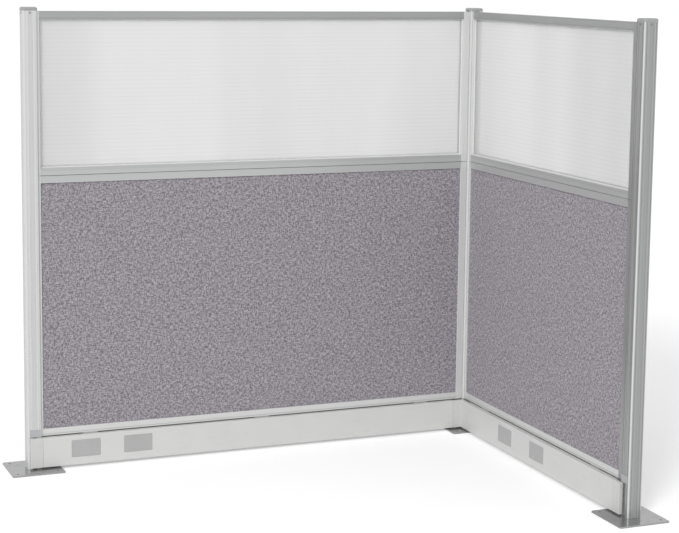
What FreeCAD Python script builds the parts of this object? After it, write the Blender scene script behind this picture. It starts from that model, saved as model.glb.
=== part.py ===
import FreeCAD, Part
import math
import os

import PartDesign
import Sketcher

# An L-shaped cubicle of two framed partition walls between three slotted posts, with a wiring raceway at the floor.
# Millimetres, +Z up, origin on the floor at the centre of the whole footprint. The long wall runs along X at the
# back, the short wall along Y at the right, and the room is on the -X, -Y side of their corner.

# Driving sizes, each a named row
SIZES = {
    # whole object
    "overall_height": 1778,
    "long_wall_span": 1860,
    "short_wall_span": 1330,
    # posts
    "post_side": 57,
    "post_corner_radius": 8,
    "slot_mouth": 17,
    "slot_width": 25,
    "slot_depth": 10,
    "slot_lip": 2,
    "core_wall": 2.6,
    "core_chamfer": 5,
    "screw_port_radius": 3.3,
    "screw_port_offset": 21,
    "side_groove_low": 16.4,
    "side_groove_high": 20.4,
    "side_groove_depth": 1.4,
    # strips that fill the slots of the faces without a wall
    "strip_gap": 0.3,
    "strip_recess": 0.9,
    "strip_thickness": 1.6,
    "strip_leg_thickness": 1.5,
    "strip_barb_reach": 1.7,
    "strip_barb_height": 3.5,
    "strip_foot_gap": 0.5,
    # caps
    "cap_height": 13,
    "cap_edge_bevel": 4,
    "cap_top_wall": 3,
    "cap_spigot_length": 26,
    "cap_spigot_gap": 0.3,
    "cap_spigot_wall": 5,
    # base plates
    "plate_side": 204,
    "plate_thickness": 6,
    "plate_corner_bevel": 5,
    "plate_edge_bevel": 1,
    "anchor_spacing": 156,
    "anchor_radius": 4.5,
    # screws up through the base plates
    "base_screw_radius": 3,
    "base_screw_length": 26,
    "base_screw_head_radius": 5.5,
    "base_screw_head_height": 3,
    "base_screw_recess": 0.4,
    "screw_hole_gap": 0.3,
    # screws through strip, post and cap
    "cap_screw_radius": 1.9,
    "cap_screw_length": 17,
    "cap_screw_head_radius": 3.4,
    "cap_screw_head_height": 1.8,
    "cap_screw_drop": 8,
    # frames of the walls
    "window_top_drop": 15,
    "seam_height": 1142,
    "seam_gap": 1.5,
    "panel_bottom": 131,
    "frame_depth": 40,
    "rail_face": 28,
    "slim_stile_face": 7,
    "frame_wall": 1.8,
    "frame_web": 10.4,
    "joint_channel_depth": 6,
    "face_line_width": 0.9,
    "face_line_depth": 0.6,
    "face_line_low": 9,
    "face_line_high": 19,
    "frame_edge_break": 0.8,
    # screws that hold rails to stiles
    "frame_screw_radius": 1.9,
    "frame_screw_length": 42,
    "frame_screw_head_radius": 3.8,
    "frame_screw_head_height": 2.6,
    # window sheet and its gaskets
    "sheet_thickness": 10,
    "sheet_skin": 0.8,
    "sheet_rib": 0.8,
    "flute_pitch": 16,
    "window_groove_width": 14,
    "window_groove_depth": 14,
    "slim_groove_depth": 4.6,
    "edge_play": 1,
    "slim_play": 0.4,
    "gasket_grip": 4,
    "gasket_lip": 1.4,
    # fabric panel
    "core_thickness": 20,
    "tackboard_thickness": 5,
    "tackboard_edge_bevel": 1.6,
    "panel_groove_depth": 12,
    "panel_play": 0.25,
    # connectors
    "key_height": 46,
    "key_gap": 0.3,
    "key_inset": 90,
    "joiner_length": 260,
    "joiner_inset": 300,
    # raceway covers
    "raceway_half_depth": 40.7,
    "cover_bottom": 12,
    "cover_top": 128,
    "cover_wall": 2,
    "cover_lip_depth": 19,
    "cover_edge_break": 0.8,
    "cover_end_gap": 0.6,
    "snap_rib_drop": 12.6,
    "snap_rib_reach": 2,
    "snap_rib_height": 2.4,
    "hook_gap": 0.3,
    "hook_wall": 1.6,
    "hook_opening": 6,
    # raceway channel
    "channel_gap": 0.3,
    "channel_wall": 2,
    "channel_edge_gap": 0.5,
    "channel_lip_wall": 1.6,
    "channel_lip_height": 10,
    "channel_web": 2,
    "channel_floor_wall": 1.6,
    "bead_radius": 2,
    "bead_height": 17.5,
    "bead_inset": 5.1,
    "channel_corner_gap": 1.3,
    # hangers
    "hanger_length": 60,
    "hanger_depth": 40,
    "hanger_key_height": 5.6,
    "hanger_inset": 220,
    "hanger_bolt_radius": 3,
    "hanger_bolt_length": 16,
    "hanger_bolt_offset": 14,
    "hanger_bolt_head_radius": 5,
    "hanger_bolt_head_height": 4,
    # brackets on the posts, beside the bottom rails
    "bracket_wall": 1.6,
    # outlet blanks
    "blank_width": 114,
    "blank_height": 67,
    "blank_bottom": 42,
    "blank_gap": 0.3,
    "blank_recess": 0.8,
    "blank_wall": 2,
    "blank_depth": 9,
    "blank_corner_bevel": 3,
    "blank_edge_break": 0.6,
    "collar_wall": 1.5,
    "collar_depth": 4,
    "long_outlet_start": 141,
    "long_outlet_pitch": 209,
    "short_outlet_start": 381,
    "short_outlet_pitch": 264,
    # covers round the feet of the posts
    "end_cover_length": 48,
    "left_end_cover_reach": 28.5,
    "right_end_cover_reach": 59,
    "foot_cover_gap": 0.2,
    "corner_leg_long": 78,
    "corner_leg_short": 93,
}

# Counts and angles
KEY_COUNT = 2
JOINER_COUNT = 2
LONG_HANGER_COUNT = 3
SHORT_HANGER_COUNT = 2
OUTLET_COUNT = 2
QUARTERS = 4
HEXAGON_SIDES = 6
HOLE_SIDES = 6
HEAD_SIDES = 8
QUARTER_TURN = 90
FULL_TURN = 360
HOOK_UPPER_ANGLE = 75
HOOK_LOWER_ANGLE = 260

# Slack for comparing computed places
TINY = 1e-4

doc = FreeCAD.newDocument("Cubicle")
sheet = doc.addObject("Spreadsheet::Sheet", "Sizes")


class Size:
    """A length that carries both its number and the formula that gives it from the named sizes."""

    def __init__(self, value, formula):
        self.value = value
        self.formula = formula

    def join(self, other, sign, value):
        text = other.formula if isinstance(other, Size) else "(%r)" % other
        return Size(value, "(%s %s %s)" % (self.formula, sign, text))

    @staticmethod
    def number(other):
        return other.value if isinstance(other, Size) else other

    def __add__(self, other):
        return self.join(other, "+", self.value + self.number(other))

    def __sub__(self, other):
        return self.join(other, "-", self.value - self.number(other))

    def __mul__(self, other):
        return self.join(other, "*", self.value * self.number(other))

    def __truediv__(self, other):
        return self.join(other, "/", self.value / self.number(other))

    def __neg__(self):
        return Size(-self.value, "(-%s)" % self.formula)


def fill_sheet():
    """Writes each driving size into its own named cell and gives the sizes by name."""
    sizes = {}
    for row, (name, value) in enumerate(SIZES.items(), start=1):
        sheet.set("A%d" % row, name)
        sheet.set("B%d" % row, str(value))
        sheet.setAlias("B%d" % row, name)
        sizes[name] = Size(value, "Sizes.%s" % name)
    doc.recompute()
    return sizes


size = fill_sheet()
ZERO = Size(0, "0")

# Post and cap
post_half = size["post_side"] / 2
mouth_half = size["slot_mouth"] / 2
slot_half = size["slot_width"] / 2
lip_inside = post_half - size["slot_lip"]
slot_floor = post_half - size["slot_depth"]
core_half = slot_floor - size["core_wall"]
port = size["screw_port_offset"]
post_top = size["overall_height"] - size["cap_height"]
post_length = post_top - size["plate_thickness"]
strip_face = post_half - size["strip_recess"]
cap_screw_hole = size["cap_screw_radius"] + size["screw_hole_gap"]
window_top = post_top + size["cap_height"] - size["window_top_drop"]
# Frames
frame_half = size["frame_depth"] / 2
window_bottom = size["seam_height"] + size["seam_gap"]
joint_half = mouth_half
key_half = mouth_half - size["key_gap"]
panel_half = size["core_thickness"] / 2 + size["tackboard_thickness"]
# Raceway
out = size["raceway_half_depth"]
cover_inner = out - size["cover_wall"]
bead_out = out - size["bead_inset"]
bead_up = size["bead_height"]
flange_top = size["cover_top"] - size["cover_wall"] - size["channel_gap"]
flange_out = cover_inner - size["channel_edge_gap"]
flange_under = flange_top - size["channel_wall"]
foot_seat = post_half + size["foot_cover_gap"]
blank_front = out - size["blank_recess"]
bolt_hole = size["hanger_bolt_radius"] + size["screw_hole_gap"]
frame_screw_hole = size["frame_screw_radius"] + size["screw_hole_gap"]

parts = []


def bind(item, name, length):
    item.setExpression(name, length.formula)


class Place:
    """A spot on the floor with a quarter turn about Z, from which local x, y and z are measured."""

    def __init__(self, x, y, turn):
        self.x = x
        self.y = y
        self.turn = turn

    def put(self, item, x=ZERO, y=ZERO, z=ZERO):
        """Binds the item's placement so that its own origin lies at local x, y, z."""
        cosine = round(math.cos(math.radians(self.turn)))
        sine = round(math.sin(math.radians(self.turn)))
        up = FreeCAD.Vector(0, 0, 1)
        item.Placement = FreeCAD.Placement(FreeCAD.Vector(), FreeCAD.Rotation(up, self.turn))
        bind(item, "Placement.Base.x", self.x + x * cosine - y * sine)
        bind(item, "Placement.Base.y", self.y + x * sine + y * cosine)
        bind(item, "Placement.Base.z", z)
        return item


def keep(item, label):
    """Names an object as one of the pieces that are written out."""
    item.Label = label
    parts.append(item)


def keep_group(label, items):
    group = doc.addObject("Part::Compound", label + "_group")
    group.Links = items
    keep(group, label)


def new_body(name):
    body = doc.addObject("PartDesign::Body", name)
    body.AllowCompound = True
    return body


def origin_part(body, role):
    return next(feature for feature in body.Origin.OriginFeatures if feature.Role == role)


def plane_sketch(body, name, plane, lift=ZERO):
    sketch = body.newObject("Sketcher::SketchObject", name)
    sketch.AttachmentSupport = [(origin_part(body, plane), "")]
    sketch.MapMode = "FlatFace"
    bind(sketch, "AttachmentOffset.Base.z", lift)
    return sketch


def add_rules(sketch, rules):
    """Adds dimensions given as (rule arguments, length), each bound to the length's formula."""
    for arguments, length in rules:
        index = sketch.addConstraint(Sketcher.Constraint(*arguments, length.value))
        bind(sketch, "Constraints[%d]" % index, length)


def draw_outline(sketch, points):
    """A closed run of straight lines whose corners are measured from the sketch's origin."""
    corners = [FreeCAD.Vector(x.value, y.value, 0) for x, y in points]
    count = len(corners)
    first = sketch.GeometryCount
    lines = [Part.LineSegment(corners[i], corners[(i + 1) % count]) for i in range(count)]
    sketch.addGeometry(lines, False)
    joints = [
        Sketcher.Constraint("Coincident", first + i, 2, first + (i + 1) % count, 1) for i in range(count)
    ]
    sketch.addConstraint(joints)
    for i, (x, y) in enumerate(points):
        add_rules(sketch, [(("DistanceX", -1, 1, first + i, 1), x), (("DistanceY", -1, 1, first + i, 1), y)])


def draw_circle(sketch, x, y, radius):
    circle = Part.Circle(FreeCAD.Vector(x.value, y.value, 0), FreeCAD.Vector(0, 0, 1), radius.value)
    index = sketch.addGeometry(circle, False)
    add_rules(
        sketch,
        [(("DistanceX", -1, 1, index, 3), x), (("DistanceY", -1, 1, index, 3), y), (("Radius", index), radius)],
    )


def draw_polygon(sketch, x, y, radius, sides):
    """A regular polygon with its corners on a circle."""
    points = []
    for side in range(sides):
        angle = math.radians(side * FULL_TURN / sides)
        points.append((x + radius * math.cos(angle), y + radius * math.sin(angle)))
    draw_outline(sketch, points)


def draw_hole(sketch, x, y, radius):
    """A hole of few flat sides that a round bar of the radius just passes."""
    draw_polygon(sketch, x, y, radius / math.cos(math.pi / HOLE_SIDES), HOLE_SIDES)


def rectangle(x_low, x_high, y_low, y_high):
    return [(x_low, y_low), (x_high, y_low), (x_high, y_high), (x_low, y_high)]


def mirrored(half):
    """Closes a half outline, given from the outer to the inner edge, with its mirror image across x = 0."""
    return half + [(-x, y) for x, y in reversed(half)]


def add_pad(body, sketch, name, length):
    pad = body.newObject("PartDesign::Pad", name)
    pad.Profile = sketch
    bind(pad, "Length", length)
    return pad


def add_cut(body, sketch, name, length=None, along=True):
    """A pocket along the sketch's normal or against it, to a stated depth or through everything."""
    pocket = body.newObject("PartDesign::Pocket", name)
    pocket.Profile = sketch
    pocket.Reversed = along
    if length is None:
        pocket.Type = "ThroughAll"
    else:
        bind(pocket, "Length", length)
    return pocket


def repeat_round(body, feature, name):
    """Repeats a feature on all four sides of the body's own Z axis."""
    pattern = body.newObject("PartDesign::PolarPattern", name)
    pattern.Originals = [feature]
    pattern.Axis = (origin_part(body, "Z_Axis"), [""])
    pattern.Angle = FULL_TURN
    pattern.Occurrences = QUARTERS
    body.Tip = pattern
    return pattern


def dress(body, kind, base, edges, length):
    """Rounds or bevels the named edges of a feature."""
    feature = body.newObject("PartDesign::" + kind, "%s_%s" % (body.Name, kind.lower()))
    feature.Base = (base, edges)
    bind(feature, "Radius" if kind == "Fillet" else "Size", length)
    return feature


def level_edges(base, axis, length):
    """Names the edges that lie in one plane square to an axis."""
    doc.recompute()
    names = []
    for index, edge in enumerate(base.Shape.Edges, start=1):
        box = edge.BoundBox
        low, high = getattr(box, axis + "Min"), getattr(box, axis + "Max")
        if abs(low - length.value) < TINY and abs(high - length.value) < TINY:
            names.append("Edge%d" % index)
    return names


def upright_edges(base):
    doc.recompute()
    names = []
    for index, edge in enumerate(base.Shape.Edges, start=1):
        box = edge.BoundBox
        if box.XLength < TINY and box.YLength < TINY:
            names.append("Edge%d" % index)
    return names


def edges_between(base, pairs):
    """Names the straight edges that run between pairs of corners, each corner three lengths."""
    doc.recompute()
    wanted = [tuple(FreeCAD.Vector(*(length.value for length in corner)) for corner in pair) for pair in pairs]
    names = []
    for index, edge in enumerate(base.Shape.Edges, start=1):
        start, end = edge.Vertexes[0].Point, edge.Vertexes[-1].Point
        for first, last in wanted:
            ahead = start.distanceToPoint(first) + end.distanceToPoint(last)
            behind = start.distanceToPoint(last) + end.distanceToPoint(first)
            if min(ahead, behind) < TINY:
                names.append("Edge%d" % index)
    return names


def extrusion(name, plane, outline, length, lift=ZERO):
    """A body with one outline carried straight along a plane's normal."""
    body = new_body(name)
    sketch = plane_sketch(body, name + "_section", plane, lift)
    draw_outline(sketch, outline)
    add_pad(body, sketch, name + "_run", length)
    return body


def screw(name, plane, head, shank):
    """A screw along a plane's normal, its head and its shank each given as a radius, a start and a length."""
    body = new_body(name)
    for label, (radius, start, length), sides in (("head", head, HEAD_SIDES), ("shank", shank, HOLE_SIDES)):
        sketch = plane_sketch(body, "%s_%s_section" % (name, label), plane, start)
        draw_polygon(sketch, ZERO, ZERO, radius, sides)
        add_pad(body, sketch, "%s_%s" % (name, label), length)
    return body


# Where the posts stand, the turns about Z of each post's faces that carry no wall, and the turn of the face
# that no raceway cover crosses
left_place = Place(-size["long_wall_span"] / 2, size["short_wall_span"] / 2, 0)
corner_place = Place(size["long_wall_span"] / 2, size["short_wall_span"] / 2, 0)
right_place = Place(size["long_wall_span"] / 2, -size["short_wall_span"] / 2, 0)
POSTS = {
    "left": (left_place, (QUARTER_TURN, QUARTER_TURN * 2, QUARTER_TURN * 3), QUARTER_TURN * 2),
    "corner": (corner_place, (0, QUARTER_TURN), None),
    "right": (right_place, (0, QUARTER_TURN * 2, QUARTER_TURN * 3), QUARTER_TURN * 3),
}


# Posts

def octagon(half, chamfer):
    """A square with its corners cut off."""
    near = half - chamfer
    return [
        (half, -near), (half, near), (near, half), (-near, half),
        (-half, near), (-half, -near), (-near, -half), (near, -half),
    ]


def make_post(name, place, turns):
    """A square extrusion with a T-slot and two side grooves in each face, corner screw ports and an open core."""
    body = new_body(name)
    outside = plane_sketch(body, name + "_outside", "XY_Plane")
    draw_outline(outside, rectangle(-post_half, post_half, -post_half, post_half))
    block = add_pad(body, outside, name + "_block", post_length)
    dress(body, "Fillet", block, upright_edges(block), size["post_corner_radius"])
    slot = plane_sketch(body, name + "_slot_section", "XY_Plane")
    draw_outline(slot, [
        (post_half, -mouth_half), (post_half, mouth_half), (lip_inside, mouth_half), (lip_inside, slot_half),
        (slot_floor, slot_half), (slot_floor, -slot_half), (lip_inside, -slot_half), (lip_inside, -mouth_half),
    ])
    repeat_round(body, add_cut(body, slot, name + "_slot"), name + "_slots")
    grooves = plane_sketch(body, name + "_groove_section", "XY_Plane")
    groove_floor = post_half - size["side_groove_depth"]
    for low, high in (
        (size["side_groove_low"], size["side_groove_high"]), (-size["side_groove_high"], -size["side_groove_low"]),
    ):
        draw_outline(grooves, rectangle(groove_floor, post_half, low, high))
    repeat_round(body, add_cut(body, grooves, name + "_groove"), name + "_grooves")
    bore = plane_sketch(body, name + "_port_section", "XY_Plane")
    draw_hole(bore, port, port, size["screw_port_radius"])
    repeat_round(body, add_cut(body, bore, name + "_port"), name + "_ports")
    core = plane_sketch(body, name + "_core_section", "XY_Plane")
    draw_outline(core, octagon(core_half, size["core_chamfer"]))
    add_cut(body, core, name + "_core")
    bore_cap_screws(body, turns, post_length - size["cap_screw_drop"])
    keep(place.put(body, z=size["plate_thickness"]), name)


def bore_cap_screws(body, turns, level):
    """Holes from the middle out through the faces at the given quarter turns."""
    for turn in turns:
        plane, along = {
            0: ("YZ_Plane", True), QUARTER_TURN: ("XZ_Plane", False),
            QUARTER_TURN * 2: ("YZ_Plane", False), QUARTER_TURN * 3: ("XZ_Plane", True),
        }[turn]
        name = "%s_cap_screw_hole_%d" % (body.Name, turn)
        hole = plane_sketch(body, name + "_place", plane)
        draw_hole(hole, ZERO, level, cap_screw_hole)
        add_cut(body, hole, name, post_half, along)


def make_cap(name, place, turns):
    """A bevelled cap whose hollow spigot fills the post's core."""
    body = new_body(name)
    outside = plane_sketch(body, name + "_outside", "XY_Plane")
    draw_outline(outside, rectangle(-post_half, post_half, -post_half, post_half))
    block = add_pad(body, outside, name + "_block", size["cap_height"])
    corners = dress(body, "Fillet", block, upright_edges(block), size["post_corner_radius"])
    top = level_edges(corners, "Z", size["cap_height"])
    dress(body, "Chamfer", corners, top, size["cap_edge_bevel"])
    spigot = plane_sketch(body, name + "_spigot_section", "XY_Plane", -size["cap_spigot_length"])
    spigot_half = core_half - size["cap_spigot_gap"]
    draw_outline(spigot, octagon(spigot_half, size["core_chamfer"]))
    add_pad(body, spigot, name + "_spigot", size["cap_spigot_length"])
    hollow = plane_sketch(body, name + "_hollow_section", "XY_Plane", -size["cap_spigot_length"])
    hollow_half = spigot_half - size["cap_spigot_wall"]
    draw_outline(hollow, octagon(hollow_half, size["cap_spigot_wall"] / 2))
    hollow_depth = size["cap_spigot_length"] + size["cap_height"] - size["cap_top_wall"]
    add_cut(body, hollow, name + "_hollow", hollow_depth)
    bore_cap_screws(body, turns, -size["cap_screw_drop"])
    keep(place.put(body, z=post_top), name)


def make_base_plate(name, place):
    """A square floor plate with four anchor holes, and four screw holes with recesses below, under the post."""
    plate_half = size["plate_side"] / 2
    body = new_body(name)
    outside = plane_sketch(body, name + "_outside", "XY_Plane")
    draw_outline(outside, rectangle(-plate_half, plate_half, -plate_half, plate_half))
    block = add_pad(body, outside, name + "_block", size["plate_thickness"])
    corners = dress(body, "Chamfer", block, upright_edges(block), size["plate_corner_bevel"])
    top = level_edges(corners, "Z", size["plate_thickness"])
    dress(body, "Chamfer", corners, top, size["plate_edge_bevel"])
    anchor = plane_sketch(body, name + "_anchor_place", "XY_Plane")
    anchor_out = size["anchor_spacing"] / 2
    draw_circle(anchor, anchor_out, anchor_out, size["anchor_radius"])
    repeat_round(body, add_cut(body, anchor, name + "_anchor_hole"), name + "_anchor_holes")
    recess = size["base_screw_recess"] + size["base_screw_head_height"]
    for label, radius, depth in (
        ("shank_hole", size["base_screw_radius"], None), ("head_recess", size["base_screw_head_radius"], recess),
    ):
        bore = plane_sketch(body, "%s_%s_place" % (name, label), "XY_Plane")
        draw_hole(bore, port, port, radius + size["screw_hole_gap"])
        cut = add_cut(body, bore, "%s_%s" % (name, label), depth)
        repeat_round(body, cut, "%s_%ss" % (name, label))
    keep(place.put(body), name)


def make_strip(name, face, foot):
    """A plate that fills a slot's mouth, on two legs with barbs that hook behind the slot's lips."""
    edge = mouth_half - size["strip_gap"]
    inner = edge - size["strip_leg_thickness"]
    hook = lip_inside - size["strip_gap"]
    half = [
        (strip_face, edge),
        (hook, edge),
        (hook, edge + size["strip_barb_reach"]),
        (hook - size["strip_barb_height"], edge),
        (slot_floor + size["strip_foot_gap"], edge),
        (slot_floor + size["strip_foot_gap"], inner),
        (strip_face - size["strip_thickness"], inner),
    ]
    outline = half + [(x, -y) for x, y in reversed(half)]
    body = extrusion(name, "XY_Plane", outline, post_top - foot)
    hole = plane_sketch(body, name + "_screw_place", "YZ_Plane")
    draw_hole(hole, ZERO, post_top - foot - size["cap_screw_drop"], cap_screw_hole)
    add_cut(body, hole, name + "_screw_hole")
    return face.put(body, z=foot)


def make_base_screw(name, place, x, y):
    """A screw that points up through the plate into one of the post's ports."""
    head_height = size["base_screw_head_height"]
    body = screw(
        name,
        "XY_Plane",
        (size["base_screw_head_radius"], ZERO, head_height),
        (size["base_screw_radius"], head_height, size["base_screw_length"]),
    )
    return place.put(body, x, y, size["base_screw_recess"])


def make_cap_screw(name, face):
    """A pan-head screw through strip and post into the cap's spigot."""
    length = size["cap_screw_length"]
    body = screw(
        name,
        "YZ_Plane",
        (size["cap_screw_head_radius"], strip_face, size["cap_screw_head_height"]),
        (size["cap_screw_radius"], strip_face - length, length),
    )
    return face.put(body, z=post_top - size["cap_screw_drop"])


def make_posts():
    base_screws = []
    cap_screws = []
    plate_top = size["plate_thickness"] + size["strip_foot_gap"]
    rail_top = size["panel_bottom"] + size["rail_face"]
    for side, (place, turns, end_turn) in POSTS.items():
        make_post(side + "_post", place, turns)
        make_cap(side + "_post_cap", place, turns)
        make_base_plate(side + "_base_plate", place)
        strips = []
        for turn in turns:
            face = Place(place.x, place.y, turn)
            foot = plate_top if turn == end_turn else rail_top
            strips.append(make_strip("%s_strip_%d" % (side, turn), face, foot))
            cap_screws.append(make_cap_screw("%s_cap_screw_%d" % (side, turn), face))
        keep_group(side + "_filler_strips", strips)
        for n, (x, y) in enumerate([(port, port), (-port, port), (-port, -port), (port, -port)], start=1):
            base_screws.append(make_base_screw("%s_base_screw_%d" % (side, n), place, x, y))
    keep_group("base_plate_screws", base_screws)
    keep_group("cap_screws", cap_screws)


# Walls

class Section:
    """The section of a rail or stile: an inner groove for its sheet or panel, and an outer channel for joints."""

    def __init__(self, groove_half, groove_depth):
        self.groove_half = groove_half
        self.groove_depth = groove_depth
        self.groove_floor = size["rail_face"] - groove_depth
        self.screw_line = (size["joint_channel_depth"] + self.groove_floor) / 2

    def outline(self, with_channel):
        """(across, inward) pairs of the outside, with two fine lines cut in each face."""
        edge = size["frame_edge_break"]
        face = size["rail_face"]
        half = [(frame_half - edge, ZERO), (frame_half, edge)]
        if with_channel:
            half = [(joint_half, size["joint_channel_depth"]), (joint_half, ZERO)] + half
        for line in (size["face_line_low"], size["face_line_high"]):
            floor = frame_half - size["face_line_depth"]
            low = line - size["face_line_width"] / 2
            high = line + size["face_line_width"] / 2
            half += [(frame_half, low), (floor, low), (floor, high), (frame_half, high)]
        half += [(frame_half, face - edge), (frame_half - edge, face)]
        half += [(self.groove_half, face), (self.groove_half, self.groove_floor)]
        return mirrored(half)

    def hollow(self, with_channel):
        """(across, inward) pairs of the hollow on the positive side of the middle web."""
        wall = size["frame_wall"]
        web = size["frame_web"] / 2
        side = frame_half - wall
        under = self.groove_floor - wall
        points = [(web, wall), (side, wall)]
        if with_channel:
            deep = size["joint_channel_depth"] + wall
            points = [(web, deep), (joint_half + wall, deep), (joint_half + wall, wall), (side, wall)]
        beside = self.groove_half + wall
        if beside.value < side.value - wall.value:
            top = size["rail_face"] - wall
            points += [(side, top), (beside, top), (beside, under)]
        else:
            points += [(side, under)]
        return points + [(web, under)]

    def loops(self, with_channel):
        hollow = self.hollow(with_channel)
        return [self.outline(with_channel), hollow, [(-x, y) for x, y in hollow]]


window_section = Section(size["window_groove_width"] / 2, size["window_groove_depth"])
panel_section = Section(panel_half + size["panel_play"], size["panel_groove_depth"])


class Wall:
    """A wall between two posts: local x runs along it from the start post, y points away from the room."""

    def __init__(self, name, place, span, channel, cover, outlets, hangers):
        self.name = name
        self.place = place
        self.span = span
        self.clear = span - size["post_side"]
        self.channel_start, self.channel_end = channel
        self.cover_start, self.cover_end = cover
        self.outlets = outlets
        self.hangers = hangers

    def put(self, body, x=ZERO, y=ZERO, z=ZERO):
        return self.place.put(body, x, y, z)

    def keep(self, body, label):
        keep(body, "%s_%s" % (self.name, label))


def level_row(start, pitch, count):
    return [start + pitch * n for n in range(count)]


def channel_reach(gap):
    return flange_out + gap


def hanger_row(span, count):
    inset = size["hanger_inset"]
    return level_row(inset, (span - inset * 2) / (count - 1), count)


long_wall = Wall(
    "long_wall",
    left_place,
    size["long_wall_span"],
    (post_half + size["channel_gap"], size["long_wall_span"] - channel_reach(size["channel_corner_gap"])),
    (
        size["left_end_cover_reach"] + size["cover_end_gap"],
        size["long_wall_span"] - size["corner_leg_long"] - size["cover_end_gap"],
    ),
    level_row(size["long_outlet_start"], size["long_outlet_pitch"], OUTLET_COUNT),
    hanger_row(size["long_wall_span"], LONG_HANGER_COUNT),
)
short_wall = Wall(
    "short_wall",
    Place(corner_place.x, corner_place.y, -QUARTER_TURN),
    size["short_wall_span"],
    (channel_reach(size["channel_corner_gap"]), size["short_wall_span"] - post_half - size["channel_gap"]),
    (
        size["corner_leg_short"] + size["cover_end_gap"],
        size["short_wall_span"] - size["right_end_cover_reach"] - size["cover_end_gap"],
    ),
    level_row(size["short_outlet_start"], size["short_outlet_pitch"], OUTLET_COUNT),
    hanger_row(size["short_wall_span"], SHORT_HANGER_COUNT),
)
WALLS = (long_wall, short_wall)


def make_rail(wall, label, section, level, up, with_channel, bolt_places):
    """A rail between the stiles, its groove facing up (1) or down (-1) from its outer edge at the level."""
    name = "%s_%s" % (wall.name, label)
    start = post_half + size["slim_stile_face"]
    body = new_body(name)
    sketch = plane_sketch(body, name + "_section", "YZ_Plane")
    for loop in section.loops(with_channel):
        draw_outline(sketch, [(across, inward * up) for across, inward in loop])
    draw_hole(sketch, ZERO, section.screw_line * up, frame_screw_hole)
    add_pad(body, sketch, name + "_run", wall.clear - size["slim_stile_face"] - size["rail_face"])
    if bolt_places:
        bolts = plane_sketch(body, name + "_bolt_places", "XY_Plane")
        for x in bolt_places:
            for side in (-1, 1):
                draw_hole(bolts, x - start, size["hanger_bolt_offset"] * side, bolt_hole)
        add_cut(body, bolts, name + "_bolt_holes", size["joint_channel_depth"])
    wall.keep(wall.put(body, start, z=level), label)


def make_slim_stile(wall, label, section, low, high):
    """A thin upright with a shallow groove, flat against the start post."""
    face = size["slim_stile_face"]
    edge = size["frame_edge_break"]
    floor = face - size["slim_groove_depth"]
    half = [
        (ZERO, frame_half), (face - edge, frame_half), (face, frame_half - edge),
        (face, section.groove_half), (floor, section.groove_half),
    ]
    outline = half + [(x, -y) for x, y in reversed(half)]
    body = extrusion("%s_%s" % (wall.name, label), "XY_Plane", outline, high - low)
    wall.keep(wall.put(body, post_half, z=low), label)


def make_wide_stile(wall, label, section, low, high):
    """An upright with the rails' own section, its joint channel against the end post, bored for the rails' screws."""
    name = "%s_%s" % (wall.name, label)
    body = new_body(name)
    sketch = plane_sketch(body, name + "_section", "XY_Plane")
    for loop in section.loops(True):
        draw_outline(sketch, [(-inward, across) for across, inward in loop])
    add_pad(body, sketch, name + "_run", high - low)
    holes = plane_sketch(body, name + "_screw_places", "YZ_Plane")
    for height in (section.screw_line, high - low - section.screw_line):
        draw_hole(holes, ZERO, height, frame_screw_hole)
    add_cut(body, holes, name + "_screw_holes", section.groove_floor, False)
    wall.keep(wall.put(body, wall.span - post_half, z=low), label)


def infill_start():
    return post_half + size["slim_stile_face"] - size["slim_groove_depth"] + size["slim_play"]


def infill_length(wall, section):
    end = wall.span - post_half - size["rail_face"] + section.groove_depth - size["edge_play"]
    return end - infill_start()


def make_window_pane(wall, low, high):
    """A double-skinned sheet whose cells run level from end to end."""
    name = wall.name + "_window_pane"
    half = size["sheet_thickness"] / 2
    pitch = size["flute_pitch"]
    length = infill_length(wall, window_section)
    body = extrusion(name, "YZ_Plane", rectangle(-half, half, ZERO, high - low), length)
    cell_half = half - size["sheet_skin"]
    count = int((high - low).value // pitch.value)
    margin = (high - low - pitch * count + size["sheet_rib"]) / 2
    cell = plane_sketch(body, name + "_cell_section", "YZ_Plane")
    draw_outline(cell, rectangle(-cell_half, cell_half, margin, margin + pitch - size["sheet_rib"]))
    cut = add_cut(body, cell, name + "_cell")
    cells = body.newObject("PartDesign::LinearPattern", name + "_cells")
    cells.Originals = [cut]
    cells.Direction = (origin_part(body, "Z_Axis"), [""])
    cells.Occurrences = count
    bind(cells, "Length", pitch * (count - 1))
    body.Tip = cells
    wall.keep(wall.put(body, infill_start(), z=low), "window_pane")


def make_window_gaskets(wall, low, high):
    """A ring of soft strip on each face of the sheet, between it and the walls of the frame's groove."""
    grip, lip = size["gasket_grip"], size["gasket_lip"]
    left = post_half + size["slim_stile_face"]
    right = wall.span - post_half - size["rail_face"]
    rings = []
    for label, far in (("inner", size["window_groove_width"] / 2), ("outer", -size["sheet_thickness"] / 2)):
        name = "%s_%s_gasket" % (wall.name, label)
        body = new_body(name)
        thickness = (size["window_groove_width"] - size["sheet_thickness"]) / 2
        sketch = plane_sketch(body, name + "_ring", "XZ_Plane", far - thickness)
        draw_outline(sketch, rectangle(left - grip, right + grip, low - grip, high + grip))
        draw_outline(sketch, rectangle(left + lip, right - lip, low + lip, high - lip))
        add_pad(body, sketch, name + "_strip", thickness)
        rings.append(wall.put(body))
    keep_group(wall.name + "_window_gaskets", rings)


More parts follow.
